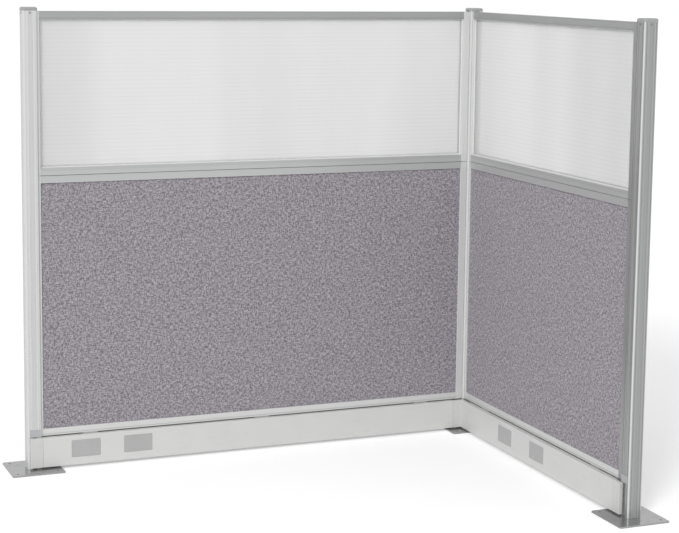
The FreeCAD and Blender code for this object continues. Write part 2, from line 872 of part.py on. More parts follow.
def make_panel(wall, low, high):
    """A core board with a tackable board on each face, all held in the panel frame's groove."""
    length = infill_length(wall, panel_section)
    core_half_depth = size["core_thickness"] / 2
    core_outline = rectangle(-core_half_depth, core_half_depth, ZERO, high - low)
    core = extrusion(wall.name + "_panel_core", "YZ_Plane", core_outline, length)
    wall.keep(wall.put(core, infill_start(), z=low), "panel_core")
    for label, side in (("inner_fabric_panel", -1), ("outer_fabric_panel", 1)):
        name = "%s_%s" % (wall.name, label)
        body = new_body(name)
        sketch = plane_sketch(body, name + "_section", "YZ_Plane")
        draw_outline(sketch, rectangle(core_half_depth * side, panel_half * side, ZERO, high - low))
        board = add_pad(body, sketch, name + "_board", length)
        front = level_edges(board, "Y", panel_half * side)
        dress(body, "Chamfer", board, front, size["tackboard_edge_bevel"])
        wall.keep(wall.put(body, infill_start(), z=low), label)


def key_outline(neck_end, way, plate=()):
    """Plan of a T-shaped block in a post's slot, its neck out to a distance from the post's centre."""
    head_half = slot_half - size["key_gap"]
    shoulder = lip_inside - size["key_gap"]
    half = [(slot_floor, head_half), (shoulder, head_half), (shoulder, key_half), (neck_end, key_half), *plate]
    return [(x * way, y) for x, y in half + [(x, -y) for x, y in reversed(half)]]


def make_connectors():
    """T-blocks that tie the frames to the posts, and bars across the seam between the stacked frames."""
    blocks = []
    height = size["key_height"]
    deep = size["joint_channel_depth"]
    ends = (("start", ZERO, post_half, 1), ("end", None, post_half + deep - size["key_gap"], -1))
    frames = ((size["panel_bottom"], size["seam_height"]), (window_bottom, window_top))
    for wall in WALLS:
        for label, x, neck_end, way in ends:
            for n, (low, high) in enumerate(frames):
                reach = high - low - size["key_inset"] * 2 - height
                for step, z in enumerate(level_row(low + size["key_inset"], reach, KEY_COUNT)):
                    name = "%s_%s_key_%d_%d" % (wall.name, label, n, step)
                    block = extrusion(name, "XY_Plane", key_outline(neck_end, way), height)
                    blocks.append(wall.put(block, wall.span if x is None else x, z=z))
        length = size["joiner_length"]
        low = size["seam_height"] - deep
        bar_height = window_bottom + deep - size["key_gap"] - low
        pitch = wall.span - size["joiner_inset"] * 2 - length
        for n, x in enumerate(level_row(size["joiner_inset"], pitch, JOINER_COUNT)):
            outline = rectangle(-key_half, key_half, ZERO, bar_height)
            bar = extrusion("%s_joiner_%d" % (wall.name, n), "YZ_Plane", outline, length)
            blocks.append(wall.put(bar, x, z=low))
    keep_group("frame_connectors", blocks)


def make_frame_screws():
    """Pan-head screws through the wide stiles into the ends of the rails, heads sunk in the joint channels."""
    screws = []
    length = size["frame_screw_length"]
    deep = size["joint_channel_depth"]
    levels = (
        size["panel_bottom"] + panel_section.screw_line, size["seam_height"] - panel_section.screw_line,
        window_bottom + window_section.screw_line, window_top - window_section.screw_line,
    )
    for wall in WALLS:
        for n, z in enumerate(levels):
            body = screw(
                "%s_frame_screw_%d" % (wall.name, n),
                "YZ_Plane",
                (size["frame_screw_head_radius"], -deep, size["frame_screw_head_height"]),
                (size["frame_screw_radius"], -deep - length, length),
            )
            screws.append(wall.put(body, wall.span - post_half, z=z))
    keep_group("frame_screws", screws)


def make_walls():
    face = size["rail_face"]
    panel_low = size["panel_bottom"] + face
    panel_high = size["seam_height"] - face
    window_low = window_bottom + face
    window_high = window_top - face
    play = size["edge_play"]
    for wall in WALLS:
        make_rail(wall, "window_top_rail", window_section, window_top, -1, False, [])
        make_rail(wall, "window_bottom_rail", window_section, window_bottom, 1, True, [])
        make_slim_stile(wall, "window_slim_stile", window_section, window_bottom, window_top)
        make_wide_stile(wall, "window_wide_stile", window_section, window_bottom, window_top)
        depth = window_section.groove_depth
        make_window_pane(wall, window_low - depth, window_high + depth - play)
        make_window_gaskets(wall, window_low, window_high)
        make_rail(wall, "panel_top_rail", panel_section, size["seam_height"], -1, True, [])
        make_rail(wall, "panel_bottom_rail", panel_section, size["panel_bottom"], 1, True, wall.hangers)
        for make_stile, label in ((make_slim_stile, "panel_slim_stile"), (make_wide_stile, "panel_wide_stile")):
            make_stile(wall, label, panel_section, size["panel_bottom"], size["seam_height"])
        depth = panel_section.groove_depth
        make_panel(wall, panel_low - depth, panel_high + depth - play)
    make_connectors()
    make_frame_screws()


# Raceway

def make_channel(wall):
    """A channel on its side to each face of the wall: top flange, middle web, and a floor edged with round beads."""
    lip_low = flange_top - size["channel_lip_height"]
    lip_inner = flange_out - size["channel_lip_wall"]
    web = size["channel_web"] / 2
    floor_half = size["channel_floor_wall"] / 2
    half = [
        (flange_out, flange_top), (flange_out, lip_low), (lip_inner, lip_low), (lip_inner, flange_under),
        (web, flange_under), (web, bead_up + floor_half), (bead_out, bead_up + floor_half),
        (bead_out, bead_up - floor_half),
    ]
    name = wall.name + "_raceway_channel"
    length = wall.channel_end - wall.channel_start
    body = extrusion(name, "YZ_Plane", mirrored(half), length)
    beads = plane_sketch(body, name + "_bead_section", "YZ_Plane")
    for side in (-1, 1):
        draw_circle(beads, bead_out * side, bead_up, size["bead_radius"])
    add_pad(body, beads, name + "_beads", length)
    bolts = plane_sketch(body, name + "_bolt_places", "XY_Plane", flange_under)
    for x in wall.hangers:
        for side in (-1, 1):
            draw_hole(bolts, x - wall.channel_start, size["hanger_bolt_offset"] * side, bolt_hole)
    add_cut(body, bolts, name + "_bolt_holes", size["channel_wall"])
    wall.keep(wall.put(body, wall.channel_start), "raceway_channel")


def make_hanger(name):
    """A spacer with a tongue up into the bottom rail's channel and two bolt holes."""
    half_length = size["hanger_length"] / 2
    half_depth = size["hanger_depth"] / 2
    seat = size["panel_bottom"]
    outline = rectangle(-half_length, half_length, -half_depth, half_depth)
    body = extrusion(name, "XY_Plane", outline, seat - flange_top, flange_top)
    tongue = plane_sketch(body, name + "_tongue_plan", "XY_Plane", seat)
    draw_outline(tongue, rectangle(-half_length, half_length, -key_half, key_half))
    add_pad(body, tongue, name + "_tongue", size["hanger_key_height"])
    holes = plane_sketch(body, name + "_bolt_places", "XY_Plane")
    for side in (-1, 1):
        draw_hole(holes, ZERO, size["hanger_bolt_offset"] * side, bolt_hole)
    add_cut(body, holes, name + "_bolt_holes")
    return body


def make_hanger_bolts(name):
    """Two hexagon-head bolts, heads under the channel's flange."""
    head = size["hanger_bolt_head_height"]
    body = new_body(name)
    heads = plane_sketch(body, name + "_head_plan", "XY_Plane", flange_under - head)
    shanks = plane_sketch(body, name + "_shank_plan", "XY_Plane", flange_under)
    for side in (-1, 1):
        across = size["hanger_bolt_offset"] * side
        draw_polygon(heads, ZERO, across, size["hanger_bolt_head_radius"], HEXAGON_SIDES)
        draw_polygon(shanks, ZERO, across, size["hanger_bolt_radius"], HOLE_SIDES)
    add_pad(body, heads, name + "_heads", head)
    add_pad(body, shanks, name + "_shanks", size["hanger_bolt_length"])
    return body


def make_brackets():
    """Plates that close the posts' slots above the covers round their feet, each on a T-shaped block."""
    width_half = post_half - size["post_corner_radius"]
    outside = post_half + size["bracket_wall"]
    outline = key_outline(post_half, 1, ((post_half, width_half), (outside, width_half)))
    brackets = []
    for side, (place, turns, end_turn) in POSTS.items():
        for turn in turns:
            if turn != end_turn:
                bracket = extrusion("%s_bracket_%d" % (side, turn), "XY_Plane", outline, size["rail_face"])
                face = Place(place.x, place.y, turn)
                brackets.append(face.put(bracket, z=size["panel_bottom"]))
    return brackets


def make_hangers():
    hangers = []
    bolts = []
    for wall in WALLS:
        for n, x in enumerate(wall.hangers, start=1):
            hangers.append(wall.put(make_hanger("%s_hanger_%d" % (wall.name, n)), x))
            bolts.append(wall.put(make_hanger_bolts("%s_hanger_bolts_%d" % (wall.name, n)), x))
    keep_group("raceway_hangers", hangers + make_brackets())
    keep_group("raceway_hanger_bolts", bolts)


def cover_outline(side):
    """Section of a cover: upright face, lip over the channel's flange, and the rib that snaps under it."""
    top = size["cover_top"]
    edge = size["cover_edge_break"]
    rib_top = top - size["snap_rib_drop"]
    rib_in = cover_inner - size["snap_rib_reach"]
    lip_end = out - size["cover_lip_depth"]
    lip_under = top - size["cover_wall"]
    points = [
        (out, size["cover_bottom"]), (out, top - edge), (out - edge, top), (lip_end, top), (lip_end, lip_under),
        (cover_inner, lip_under), (cover_inner, rib_top), (rib_in, rib_top),
        (rib_in, rib_top - size["snap_rib_height"] / 2), (cover_inner, rib_top - size["snap_rib_height"]),
        (cover_inner, size["cover_bottom"]),
    ]
    return [(x * side, y) for x, y in points]


def hook_mouth(side):
    """Wedge that opens a cover's round hook toward the channel's floor."""
    reach = size["hook_opening"]
    points = [(bead_out, bead_up)]
    for angle in (math.radians(HOOK_UPPER_ANGLE), math.radians(HOOK_LOWER_ANGLE)):
        points.append((bead_out + reach * math.cos(angle), bead_up + reach * math.sin(angle)))
    points[2:2] = [(bead_out - reach, bead_up + reach), (bead_out - reach, bead_up - reach)]
    return [(x * side, y) for x, y in points]


def make_cover(wall, label, side, outlets):
    """A raceway cover that hooks round the channel's bead along its foot."""
    name = "%s_%s" % (wall.name, label)
    length = wall.cover_end - wall.cover_start
    body = extrusion(name, "YZ_Plane", cover_outline(side), length)
    bore_radius = size["bead_radius"] + size["hook_gap"]
    hook = plane_sketch(body, name + "_hook_section", "YZ_Plane")
    draw_circle(hook, bead_out * side, bead_up, bore_radius + size["hook_wall"])
    draw_circle(hook, bead_out * side, bead_up, bore_radius)
    add_pad(body, hook, name + "_hook", length)
    mouth = plane_sketch(body, name + "_hook_mouth_section", "YZ_Plane")
    draw_outline(mouth, hook_mouth(side))
    add_cut(body, mouth, name + "_hook_mouth")
    if outlets:
        collar = size["collar_wall"] + size["blank_gap"]
        collars = plane_sketch(body, name + "_collar_plan", "XZ_Plane", cover_inner - size["collar_depth"])
        windows = plane_sketch(body, name + "_window_plan", "XZ_Plane")
        low, high = size["blank_bottom"] - collar, size["blank_bottom"] + size["blank_height"] + collar
        for x in outlets:
            left = x - wall.cover_start
            draw_outline(collars, rectangle(left - collar, left + size["blank_width"] + collar, low, high))
            draw_blank_outline(windows, left, size["blank_bottom"], size["blank_gap"])
        add_pad(body, collars, name + "_collars", size["collar_depth"])
        add_cut(body, windows, name + "_windows")
    wall.keep(wall.put(body, wall.cover_start), label)


def draw_blank_outline(sketch, left, bottom, grow):
    """The outline of an outlet blank with bevelled corners, grown outward all round by an amount."""
    bevel = size["blank_corner_bevel"]
    x_low, x_high = left - grow, left + size["blank_width"] + grow
    y_low, y_high = bottom - grow, bottom + size["blank_height"] + grow
    draw_outline(sketch, [
        (x_low + bevel, y_low), (x_high - bevel, y_low), (x_high, y_low + bevel), (x_high, y_high - bevel),
        (x_high - bevel, y_high), (x_low + bevel, y_high), (x_low, y_high - bevel), (x_low, y_low + bevel),
    ])


def make_blank(wall, label, x):
    """A shallow tray that closes an outlet's opening, face just inside the cover's."""
    name = "%s_%s" % (wall.name, label)
    body = new_body(name)
    back = blank_front - size["blank_depth"]
    outside = plane_sketch(body, name + "_outside", "XZ_Plane", back)
    draw_blank_outline(outside, ZERO, ZERO, ZERO)
    block = add_pad(body, outside, name + "_block", size["blank_depth"])
    front = level_edges(block, "Y", -blank_front)
    dress(body, "Chamfer", block, front, size["blank_edge_break"])
    inside = plane_sketch(body, name + "_inside", "XZ_Plane", back)
    rim = size["blank_wall"]
    draw_outline(inside, rectangle(rim, size["blank_width"] - rim, rim, size["blank_height"] - rim))
    add_cut(body, inside, name + "_hollow", size["blank_depth"] - rim)
    wall.keep(wall.put(body, x, z=size["blank_bottom"]), label)


def foot_cover(name, outline, inside, seen_edges):
    """A shell round a post's foot: face, top and bottom walls, open toward the post and the raceway."""
    low, high, wall = size["cover_bottom"], size["cover_top"], size["cover_wall"]
    body = new_body(name)
    plan = plane_sketch(body, name + "_plan", "XY_Plane", low)
    draw_outline(plan, outline)
    block = add_pad(body, plan, name + "_block", high - low)
    dress(body, "Chamfer", block, edges_between(block, seen_edges), size["cover_edge_break"])
    hollow = plane_sketch(body, name + "_hollow_plan", "XY_Plane", low + wall)
    draw_outline(hollow, inside)
    add_cut(body, hollow, name + "_hollow", high - low - wall * 2)
    return body


def make_end_cover(name, place, open_end, closed_end, way, side):
    """A cover over one side of an end post, closed at its far end."""
    wall = size["cover_wall"]
    low, high = size["cover_bottom"], size["cover_top"]
    face = out * side
    back = foot_seat * side
    outline = rectangle(open_end, closed_end, back, face)
    inside = rectangle(open_end - wall * way, closed_end - wall * way, back - wall * side, cover_inner * side)
    seen_edges = [
        ((open_end, face, high), (closed_end, face, high)),
        ((closed_end, face, high), (closed_end, back, high)),
        ((closed_end, face, low), (closed_end, face, high)),
    ]
    keep(place.put(foot_cover(name, outline, inside, seen_edges)), name)


def corner_band(back, face, long_leg, short_leg):
    """Plan of an L-shaped band round the corner post, between two distances from the walls' middle lines."""
    return [
        (-long_leg, face), (face, face), (face, -short_leg), (back, -short_leg), (back, back), (-long_leg, back),
    ]


def make_corner_cover(name, side):
    """A cover round the inside (-1) or the outside (1) of the corner."""
    wall = size["cover_wall"]
    low, high = size["cover_bottom"], size["cover_top"]
    long_leg, short_leg = size["corner_leg_long"], size["corner_leg_short"]
    face = out * side
    outline = corner_band(foot_seat * side, face, long_leg, short_leg)
    inside = corner_band((foot_seat - wall) * side, cover_inner * side, long_leg + wall, short_leg + wall)
    seen_edges = [
        ((-long_leg, face, high), (face, face, high)),
        ((face, face, high), (face, -short_leg, high)),
    ]
    if side > 0:
        seen_edges.append(((face, face, low), (face, face, high)))
    keep(corner_place.put(foot_cover(name, outline, inside, seen_edges)), name)


def make_raceways():
    for wall in WALLS:
        make_channel(wall)
        make_cover(wall, "inner_raceway_cover", -1, wall.outlets)
        make_cover(wall, "outer_raceway_cover", 1, [])
        for n, x in enumerate(wall.outlets, start=1):
            make_blank(wall, "outlet_blank_%d" % n, x)
    make_hangers()
    left_open = size["left_end_cover_reach"]
    left_closed = left_open - size["end_cover_length"]
    right_open = short_wall.span - size["right_end_cover_reach"]
    right_closed = right_open + size["end_cover_length"]
    for label, side in (("inner", -1), ("outer", 1)):
        make_end_cover("left_%s_end_cover" % label, long_wall.place, left_open, left_closed, -1, side)
        make_end_cover("right_%s_end_cover" % label, short_wall.place, right_open, right_closed, 1, side)
        make_corner_cover("corner_%s_cover" % label, side)


def write_parts():
    """Stops on any feature that failed, then writes each piece to its own file."""
    doc.recompute()
    for item in doc.Objects:
        if any(state in ("Invalid", "Error") for state in item.State):
            raise RuntimeError("feature failed: " + item.Name)
    os.makedirs("parts", exist_ok=True)
    for item in parts:
        if item.Shape.isNull() or not item.Shape.isValid():
            raise RuntimeError("bad shape: " + item.Label)
        item.Shape.exportStep("parts/%s.step" % item.Label)


make_posts()
make_walls()
make_raceways()
write_parts()
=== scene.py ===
"""Cubicle workstation: an L of two framed walls with slotted posts and a wiring raceway along the floor.

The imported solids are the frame. Fabric is stretched over the tackable panels, glazing beads trim the
windows, every piece gets its finish, and a camera and a plain stage are set up round the object.
"""
from math import cos, pi, sin

import bpy
import numpy as np
from bpy.props import FloatProperty, FloatVectorProperty, PointerProperty
from mathutils import Matrix, Vector


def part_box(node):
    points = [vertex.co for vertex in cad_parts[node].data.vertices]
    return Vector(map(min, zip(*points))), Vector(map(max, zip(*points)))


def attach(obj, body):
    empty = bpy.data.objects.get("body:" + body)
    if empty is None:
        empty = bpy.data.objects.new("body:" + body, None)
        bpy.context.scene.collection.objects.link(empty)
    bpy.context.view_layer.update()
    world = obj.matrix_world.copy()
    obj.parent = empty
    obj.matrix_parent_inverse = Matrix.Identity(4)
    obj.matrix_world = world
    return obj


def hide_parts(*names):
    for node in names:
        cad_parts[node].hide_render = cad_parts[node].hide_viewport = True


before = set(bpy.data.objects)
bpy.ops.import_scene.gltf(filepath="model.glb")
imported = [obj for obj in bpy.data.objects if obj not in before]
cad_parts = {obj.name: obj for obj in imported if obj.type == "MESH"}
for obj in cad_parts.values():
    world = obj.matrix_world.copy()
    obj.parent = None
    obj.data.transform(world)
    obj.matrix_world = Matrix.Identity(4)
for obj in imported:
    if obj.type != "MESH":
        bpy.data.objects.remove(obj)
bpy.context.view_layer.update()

bl_info = {
    "name": "Cubicle Workstation",
    "version": (1, 0, 0),
    "blender": (4, 5, 0),
    "location": "View3D > Sidebar > Cubicle",
    "description": "Fabric skins, finishes and stage for an L-shaped cubicle of framed walls",
    "category": "Object",
}

ACROSS, DEEP, UP = 0, 1, 2
FACES = ("inner", "outer")
POSTS = ("left", "corner", "right")
ENDS = ("left", "right")

# Each wall runs along the first axis and faces along the second
WALLS = {"long_wall": (ACROSS, DEEP), "short_wall": (DEEP, ACROSS)}

# Lines of painted shade along each rail, also bumped as shallow grooves: two heights above its foot, a
# line's width, and how much darker a line is
RAIL_SHADE_LINES = {
    "window_top_rail": (0.0025, 0.0255, 0.005, 0.16),
    "window_bottom_rail": (0.0250, 0.0190, 0.005, 0.10),
    "panel_top_rail": (0.0240, 0.0240, 0.003, 0.08),
    "panel_bottom_rail": (0.0070, 0.0070, 0.0035, 0.22),
}

# Marks per metre: across lines and grains, along lines, and on each axis for streaks and zones
DIE_LINES, MILL_LINES, ROLL_LINES, ZINC_GRAINS = 420.0, 260.0, 800.0, 900.0
DIE_RUN, ROLL_RUN = 0.12, 9.0
SCUFF_STREAKS = (16.0, 16.0, 85.0)
SHEET_ZONES = (2.6, 2.6, 0.15)

# How far apart in the noise two neighbouring yarns are read
YARN_STRIDE = 7.3

# Waves of noise in one fleck's size: flecks along their yarn, slubs along and across their yarns
FLECK_RUN, SLUB_RUN, SLUB_WIDTH = 0.55, 0.42, 1.3

# A filler strip's tone as a share of its post's
STRIP_TONE = 0.9

# Rows of the fabric's grid: shares of the crown's run and of the fold's quarter turn, and the widest step
CROWN_SHARES = np.array([0.0, 0.1, 0.25, 0.45, 0.7, 1.0])
FOLD_SHARES = np.array([0.25, 0.5, 0.75, 1.0])
SKIN_STEP = 0.05

# Chamfer of a glazing bead's inner edge, as a share of that edge's thickness
BEAD_CHAMFER_SHARE = 0.2


# Sizes and colours

def linear(red, green, blue):
    """A colour read off a screen, 0 to 255, as linear light.

    With s the share of 255, light is ((s + 0.055) / 1.055) to the power 2.4, or s / 12.92 where s is tiny.
    """
    screen = np.array([red, green, blue]) / 255.0
    light = np.where(screen <= 0.04045, screen / 12.92, ((screen + 0.055) / 1.055) ** 2.4)
    return tuple(float(value) for value in light)


def colour(name, description, red, green, blue):
    """A colour property whose default is given as it looks on a screen."""
    return FloatVectorProperty(name=name, description=description, size=3, subtype="COLOR",
                               min=0.0, max=1.0, default=linear(red, green, blue))


def length(name, description, default):
    """A length property in metres."""
    return FloatProperty(name=name, description=description, min=0.0, default=default, unit="LENGTH",
                         precision=4)


class CubicleSizes(bpy.types.PropertyGroup):
    """Sizes of what the scene adds to the solids, and of its patterns."""
    skin_thickness: length("Fabric thickness", "Thickness of the tweed", 0.0008)
    skin_crown: length("Fabric crown", "How far the fabric swells out between its frames", 0.0013)
    crown_run: length("Crown run", "Distance from the frame over which the crown rises", 0.03)
    skin_wrap: length("Fabric wrap", "Depth of the fabric folded over the board's edge", 0.0044)
    turn_radius: length("Fold radius", "Radius of the fabric's fold at the board's edge", 0.0016)
    yarn_pitch: length("Yarn pitch", "Distance from one yarn of the weave to the next", 0.0018)
    fleck_size: length("Fleck size", "Width of a light or dark fleck of the tweed", 0.0056)
    flute_pitch: length("Flute pitch", "Distance from one rib of a window's sheet to the next", 0.016)
    bead_width: length("Bead width", "How far a glazing bead reaches in over the sheet", 0.0048)
    bead_lift: length("Bead lift", "Gap between a glazing bead and the sheet's gasket", 0.0002)
    bead_edge: length("Bead edge", "Thickness of a glazing bead's inner edge", 0.0022)
    bead_rise: length("Bead rise", "Thickness of a glazing bead at the frame", 0.0045)
    bead_break: length("Bead edge break", "Width of a glazing bead's softened edges", 0.0004)
    # Depth and run of the painted highlight on the posts' rounded corners
    corner_rub: length("Corner rub", "Depth of a post's corner that is rubbed bright", 0.0058)
    corner_fade: length("Corner fade", "Run over which a rubbed corner turns bright", 0.002)
    scuff_top: length("Scuff height", "Height above the floor up to which feet leave scuffs", 0.32)


class CubicleColours(bpy.types.PropertyGroup):
    """Colours of the pieces."""
    # The posts are one anodised extrusion; the right post's darker tone is painted shade
    end_post: colour("Left and corner posts", "Anodised extrusion of two posts", 208, 209, 208)
    right_post: colour("Right post", "Anodised extrusion of the right post", 160, 161, 161)
    # Colour of the painted highlight on the posts' rounded corners
    polish: colour("Highlighted corners", "Rounded corners of the posts, rubbed bright", 208, 209, 209)
    # The rails are one anodised extrusion in lit and shaded copies: painted shade darkens the top rails,
    # painted light lightens the bottom rails
    top_rail: colour("Top rails", "Anodised rail above a window", 164, 165, 165)
    middle_rail: colour("Middle rails", "Anodised rails between window and panel", 186, 187, 187)
    bottom_rail: colour("Bottom rails", "Anodised rail under a panel", 212, 213, 212)
    # The stiles are one anodised extrusion in lit and shaded copies: the stiles lighter as painted light,
    # the end stiles darker as painted shade
    stile: colour("Stiles", "Anodised uprights of the frames", 213, 214, 213)
    end_stile: colour("End stiles", "Anodised uprights beside the right post", 156, 157, 157)
    cover: colour("Raceway covers", "Satin paint of the covers", 208, 209, 207)
    end_cover: colour("End covers", "Satin plastic at the posts", 203, 204, 202)
    blank: colour("Outlet blanks", "Moulded plates in the covers", 172, 173, 172)
    channel: colour("Channel", "Mill-finished channel behind the covers", 178, 179, 180)
    cap: colour("Post caps", "Moulded cap on each post", 158, 159, 160)
    plate: colour("Base plates", "Bright steel plate under each post", 156, 157, 158)
    window: colour("Window", "Translucent fluted sheet", 237, 237, 237)
    gasket: colour("Gaskets", "Pale rubber beside the sheet", 224, 225, 224)
    bead: colour("Glazing beads", "Thin trim round each window", 212, 213, 212)
    core: colour("Core board", "Raw edge of the board between the fabrics", 176, 156, 128)
    screw: colour("Screws", "Zinc-plated steel", 140, 140, 142)
    yarn_dark: colour("Dark yarn", "Darkest fleck of the tweed", 108, 104, 110)
    yarn_light: colour("Light yarn", "Lightest fleck of the tweed", 183, 177, 184)
    yarn_tint: colour("Tinted yarn", "Cooler yarn mixed in the tweed", 122, 121, 133)
    dust: colour("Dust", "Dust that lies on edges facing up", 176, 172, 165)


def sizes():
    """The sizes held by the scene."""
    return bpy.context.scene.cubicle_sizes


def colours():
    """The colours held by the scene."""
    return bpy.context.scene.cubicle_colours


def opaque(rgb):
    """A colour with full opacity, as a socket takes it."""
    return (*rgb, 1.0)


# Node building

def wired(tree, kind, inputs=None, **settings):
    """Adds one node, sets its properties and fills or links its inputs, which are named or numbered."""
    node = tree.nodes.new(kind)
    for key, value in settings.items():
        setattr(node, key, value)
    for key, value in (inputs or {}).items():
        if isinstance(value, bpy.types.NodeSocket):
            tree.links.new(value, node.inputs[key])
        else:
            node.inputs[key].default_value = value
    return node


def sums(tree, operation, *values):
    """The result of one Math node on values or sockets."""
    return wired(tree, "ShaderNodeMath", dict(enumerate(values)), operation=operation).outputs[0]


def vectors(tree, operation, *values):
    """The result of one Vector Math node on vectors or sockets."""
    return wired(tree, "ShaderNodeVectorMath", dict(enumerate(values)), operation=operation).outputs[0]


def scaled(tree, vector, factor):
    """A vector or colour times a number."""
    inputs = {"Vector": vector, "Scale": factor}
    return wired(tree, "ShaderNodeVectorMath", inputs, operation="SCALE").outputs[0]


def parts(tree, vector):
    """The three parts of a vector."""
    return wired(tree, "ShaderNodeSeparateXYZ", {0: vector}).outputs


def weighed(tree, *terms):
    """The sum of terms, each a share and the value that it multiplies."""
    total = sums(tree, "MULTIPLY", *terms[0])
    for share, value in terms[1:]:
        total = sums(tree, "MULTIPLY_ADD", value, share, total)
    return total


def wave(tree, turns):
    """The size of the sine of pi times a number of turns: 0 at each whole turn and 1 half way between."""
    return sums(tree, "ABSOLUTE", sums(tree, "SINE", sums(tree, "MULTIPLY", turns, pi)))


def noise(tree, place, scale=1.0, detail=2.0, distortion=0.0):
    """Smooth noise, 0 to 1 with a mean of one half."""
    inputs = {"Vector": place, "Scale": scale, "Detail": detail, "Distortion": distortion}
    return wired(tree, "ShaderNodeTexNoise", inputs).outputs["Fac"]


def ramped(tree, value, low, high, start=0.0, end=1.0):
    """A value carried smoothly from start at low to end at high, and held outside them."""
    inputs = {"Value": value, "From Min": low, "From Max": high, "To Min": start, "To Max": end}
    return wired(tree, "ShaderNodeMapRange", inputs, interpolation_type="SMOOTHSTEP").outputs[0]


def mixed(tree, share, first, second):
    """A colour between two colours."""
    return wired(tree, "ShaderNodeMix", {0: share, 6: first, 7: second}, data_type="RGBA").outputs[2]


VECTOR, COLOUR, NUMBER = "NodeSocketVector", "NodeSocketColor", "NodeSocketFloat"


def effect(name, inputs, outputs):
    """An empty effect group with named sockets: the group, what comes in and what goes out."""
    group = bpy.data.node_groups.new(name, "ShaderNodeTree")
    for label, kind in inputs.items():
        group.interface.new_socket(label, in_out="INPUT", socket_type=kind)
    for label, kind in outputs.items():
        group.interface.new_socket(label, in_out="OUTPUT", socket_type=kind)
    return group, group.nodes.new("NodeGroupInput").outputs, group.nodes.new("NodeGroupOutput").inputs


def send(tree, out, **values):
    """Links each value to the output of its name."""
    for label, value in values.items():
        tree.links.new(value, out[label])


def built_once(maker):
    """Makes a group on its first use and hands out the same group after that."""
    def group():
        name = maker.__name__.replace("_", " ").title()
        return bpy.data.node_groups.get(name) or maker(name)
    return group


# Effects that the finishes share

GRAIN_INPUTS = {"Place": VECTOR, "Stretch": VECTOR, "Colour": COLOUR, "Tone Spread": NUMBER,
                "Roughness": NUMBER, "Roughness Spread": NUMBER}
SURFACE_OUTPUTS = {"Colour": COLOUR, "Roughness": NUMBER, "Height": NUMBER}


def grained(tree, given, out, shade, sheen, height):
    """Sends out a grained surface.

    Its colour is the given one times 1 + shade times the tone's spread, and its roughness the given one
    plus sheen times the roughness's spread.
    """
    tone = sums(tree, "MULTIPLY_ADD", shade, given["Tone Spread"], 1.0)
    rough = sums(tree, "MULTIPLY_ADD", sheen, given["Roughness Spread"], given["Roughness"])
    send(tree, out, Colour=scaled(tree, given["Colour"], tone), Roughness=rough, Height=height)


@built_once
def drawn_metal_grain(name):
    """Lines that a die leaves along an extrusion: noise on a place that is squeezed along it.

    The lines and a slow second noise, which clouds the anodising, make the tone and the roughness.
    """
    tree, given, out = effect(name, GRAIN_INPUTS, SURFACE_OUTPUTS)
    lines = noise(tree, vectors(tree, "MULTIPLY", given["Place"], given["Stretch"]), detail=4.0)
    cloud = noise(tree, given["Place"], scale=5.0)
    swing = sums(tree, "SUBTRACT", weighed(tree, (0.65, lines), (0.35, cloud)), 0.5)
    grained(tree, given, out, sums(tree, "MULTIPLY", swing, 4.0), swing, lines)
    return tree


@built_once
def moulded_pebble(name):
    """Fine pebbles of a moulded or sprayed skin: rounded cells, finer noise and a slow change of tone."""
    tree, given, out = effect(name, GRAIN_INPUTS, SURFACE_OUTPUTS)
    place = vectors(tree, "MULTIPLY", given["Place"], given["Stretch"])
    cells = wired(tree, "ShaderNodeTexVoronoi", {"Vector": place, "Scale": 1.0, "Smoothness": 0.7},
                  feature="SMOOTH_F1").outputs["Distance"]
    fine = noise(tree, place, scale=2.3)
    swing = sums(tree, "SUBTRACT", noise(tree, given["Place"], scale=7.0, detail=4.0), 0.5)
    pit = sums(tree, "SUBTRACT", fine, 0.5)
    grained(tree, given, out, weighed(tree, (3.0, swing), (1.8, pit)), swing,
            weighed(tree, (0.6, cells), (0.4, fine)))
    return tree


@built_once
def rubbed_corners(name):
    """The rounded corners of a square post, lighter and smoother than its faces: a painted highlight, and
    less roughness.

    With the place measured from the post's axis, the mask rises where the smaller of |x| and |y| passes the
    reach, which is half the post's side less most of its corner radius.
    """
    tree, given, out = effect(name, {"Place": VECTOR, "Centre": VECTOR, "Reach": NUMBER, "Fade": NUMBER,
                                     "Colour": COLOUR, "Polish": COLOUR, "Roughness": NUMBER,
                                     "Shine": NUMBER},
                              {"Colour": COLOUR, "Roughness": NUMBER})
    aside = vectors(tree, "SUBTRACT", given["Place"], given["Centre"])
    away = parts(tree, vectors(tree, "ABSOLUTE", aside))
    nearer = sums(tree, "MINIMUM", away[ACROSS], away[DEEP])
    past = sums(tree, "DIVIDE", sums(tree, "SUBTRACT", nearer, given["Reach"]), given["Fade"])
    mask = ramped(tree, past, 0.0, 1.0)
    drop = sums(tree, "SUBTRACT", given["Shine"], given["Roughness"])
    send(tree, out, Colour=mixed(tree, mask, given["Colour"], given["Polish"]),
         Roughness=sums(tree, "MULTIPLY_ADD", mask, drop, given["Roughness"]))
    return tree


@built_once
def pressed_lines(name):
    """Two shallow lines of painted shade that run the length of a level rail, each at a height of its own.

    A line's mask falls from 1 to 0 over its width as the height leaves it; the deeper of the two counts,
    and the tone is 1 less the shade times that mask, which is painted shade; the mask also bumps shallow
    grooves.
    """
    tree, given, out = effect(name, {"Place": VECTOR, "Colour": COLOUR, "First": NUMBER, "Second": NUMBER,
                                     "Width": NUMBER, "Shade": NUMBER},
                              {"Colour": COLOUR, "Height": NUMBER})
    height = parts(tree, given["Place"])[UP]
    masks = []
    for label in ("First", "Second"):
        away = sums(tree, "ABSOLUTE", sums(tree, "SUBTRACT", height, given[label]))
        masks.append(ramped(tree, sums(tree, "DIVIDE", away, given["Width"]), 0.2, 0.7, 1.0, 0.0))
    mask = sums(tree, "MAXIMUM", *masks)
    tone = sums(tree, "SUBTRACT", 1.0, sums(tree, "MULTIPLY", mask, given["Shade"]))
    send(tree, out, Colour=scaled(tree, given["Colour"], tone), Height=sums(tree, "SUBTRACT", 1.0, mask))
    return tree


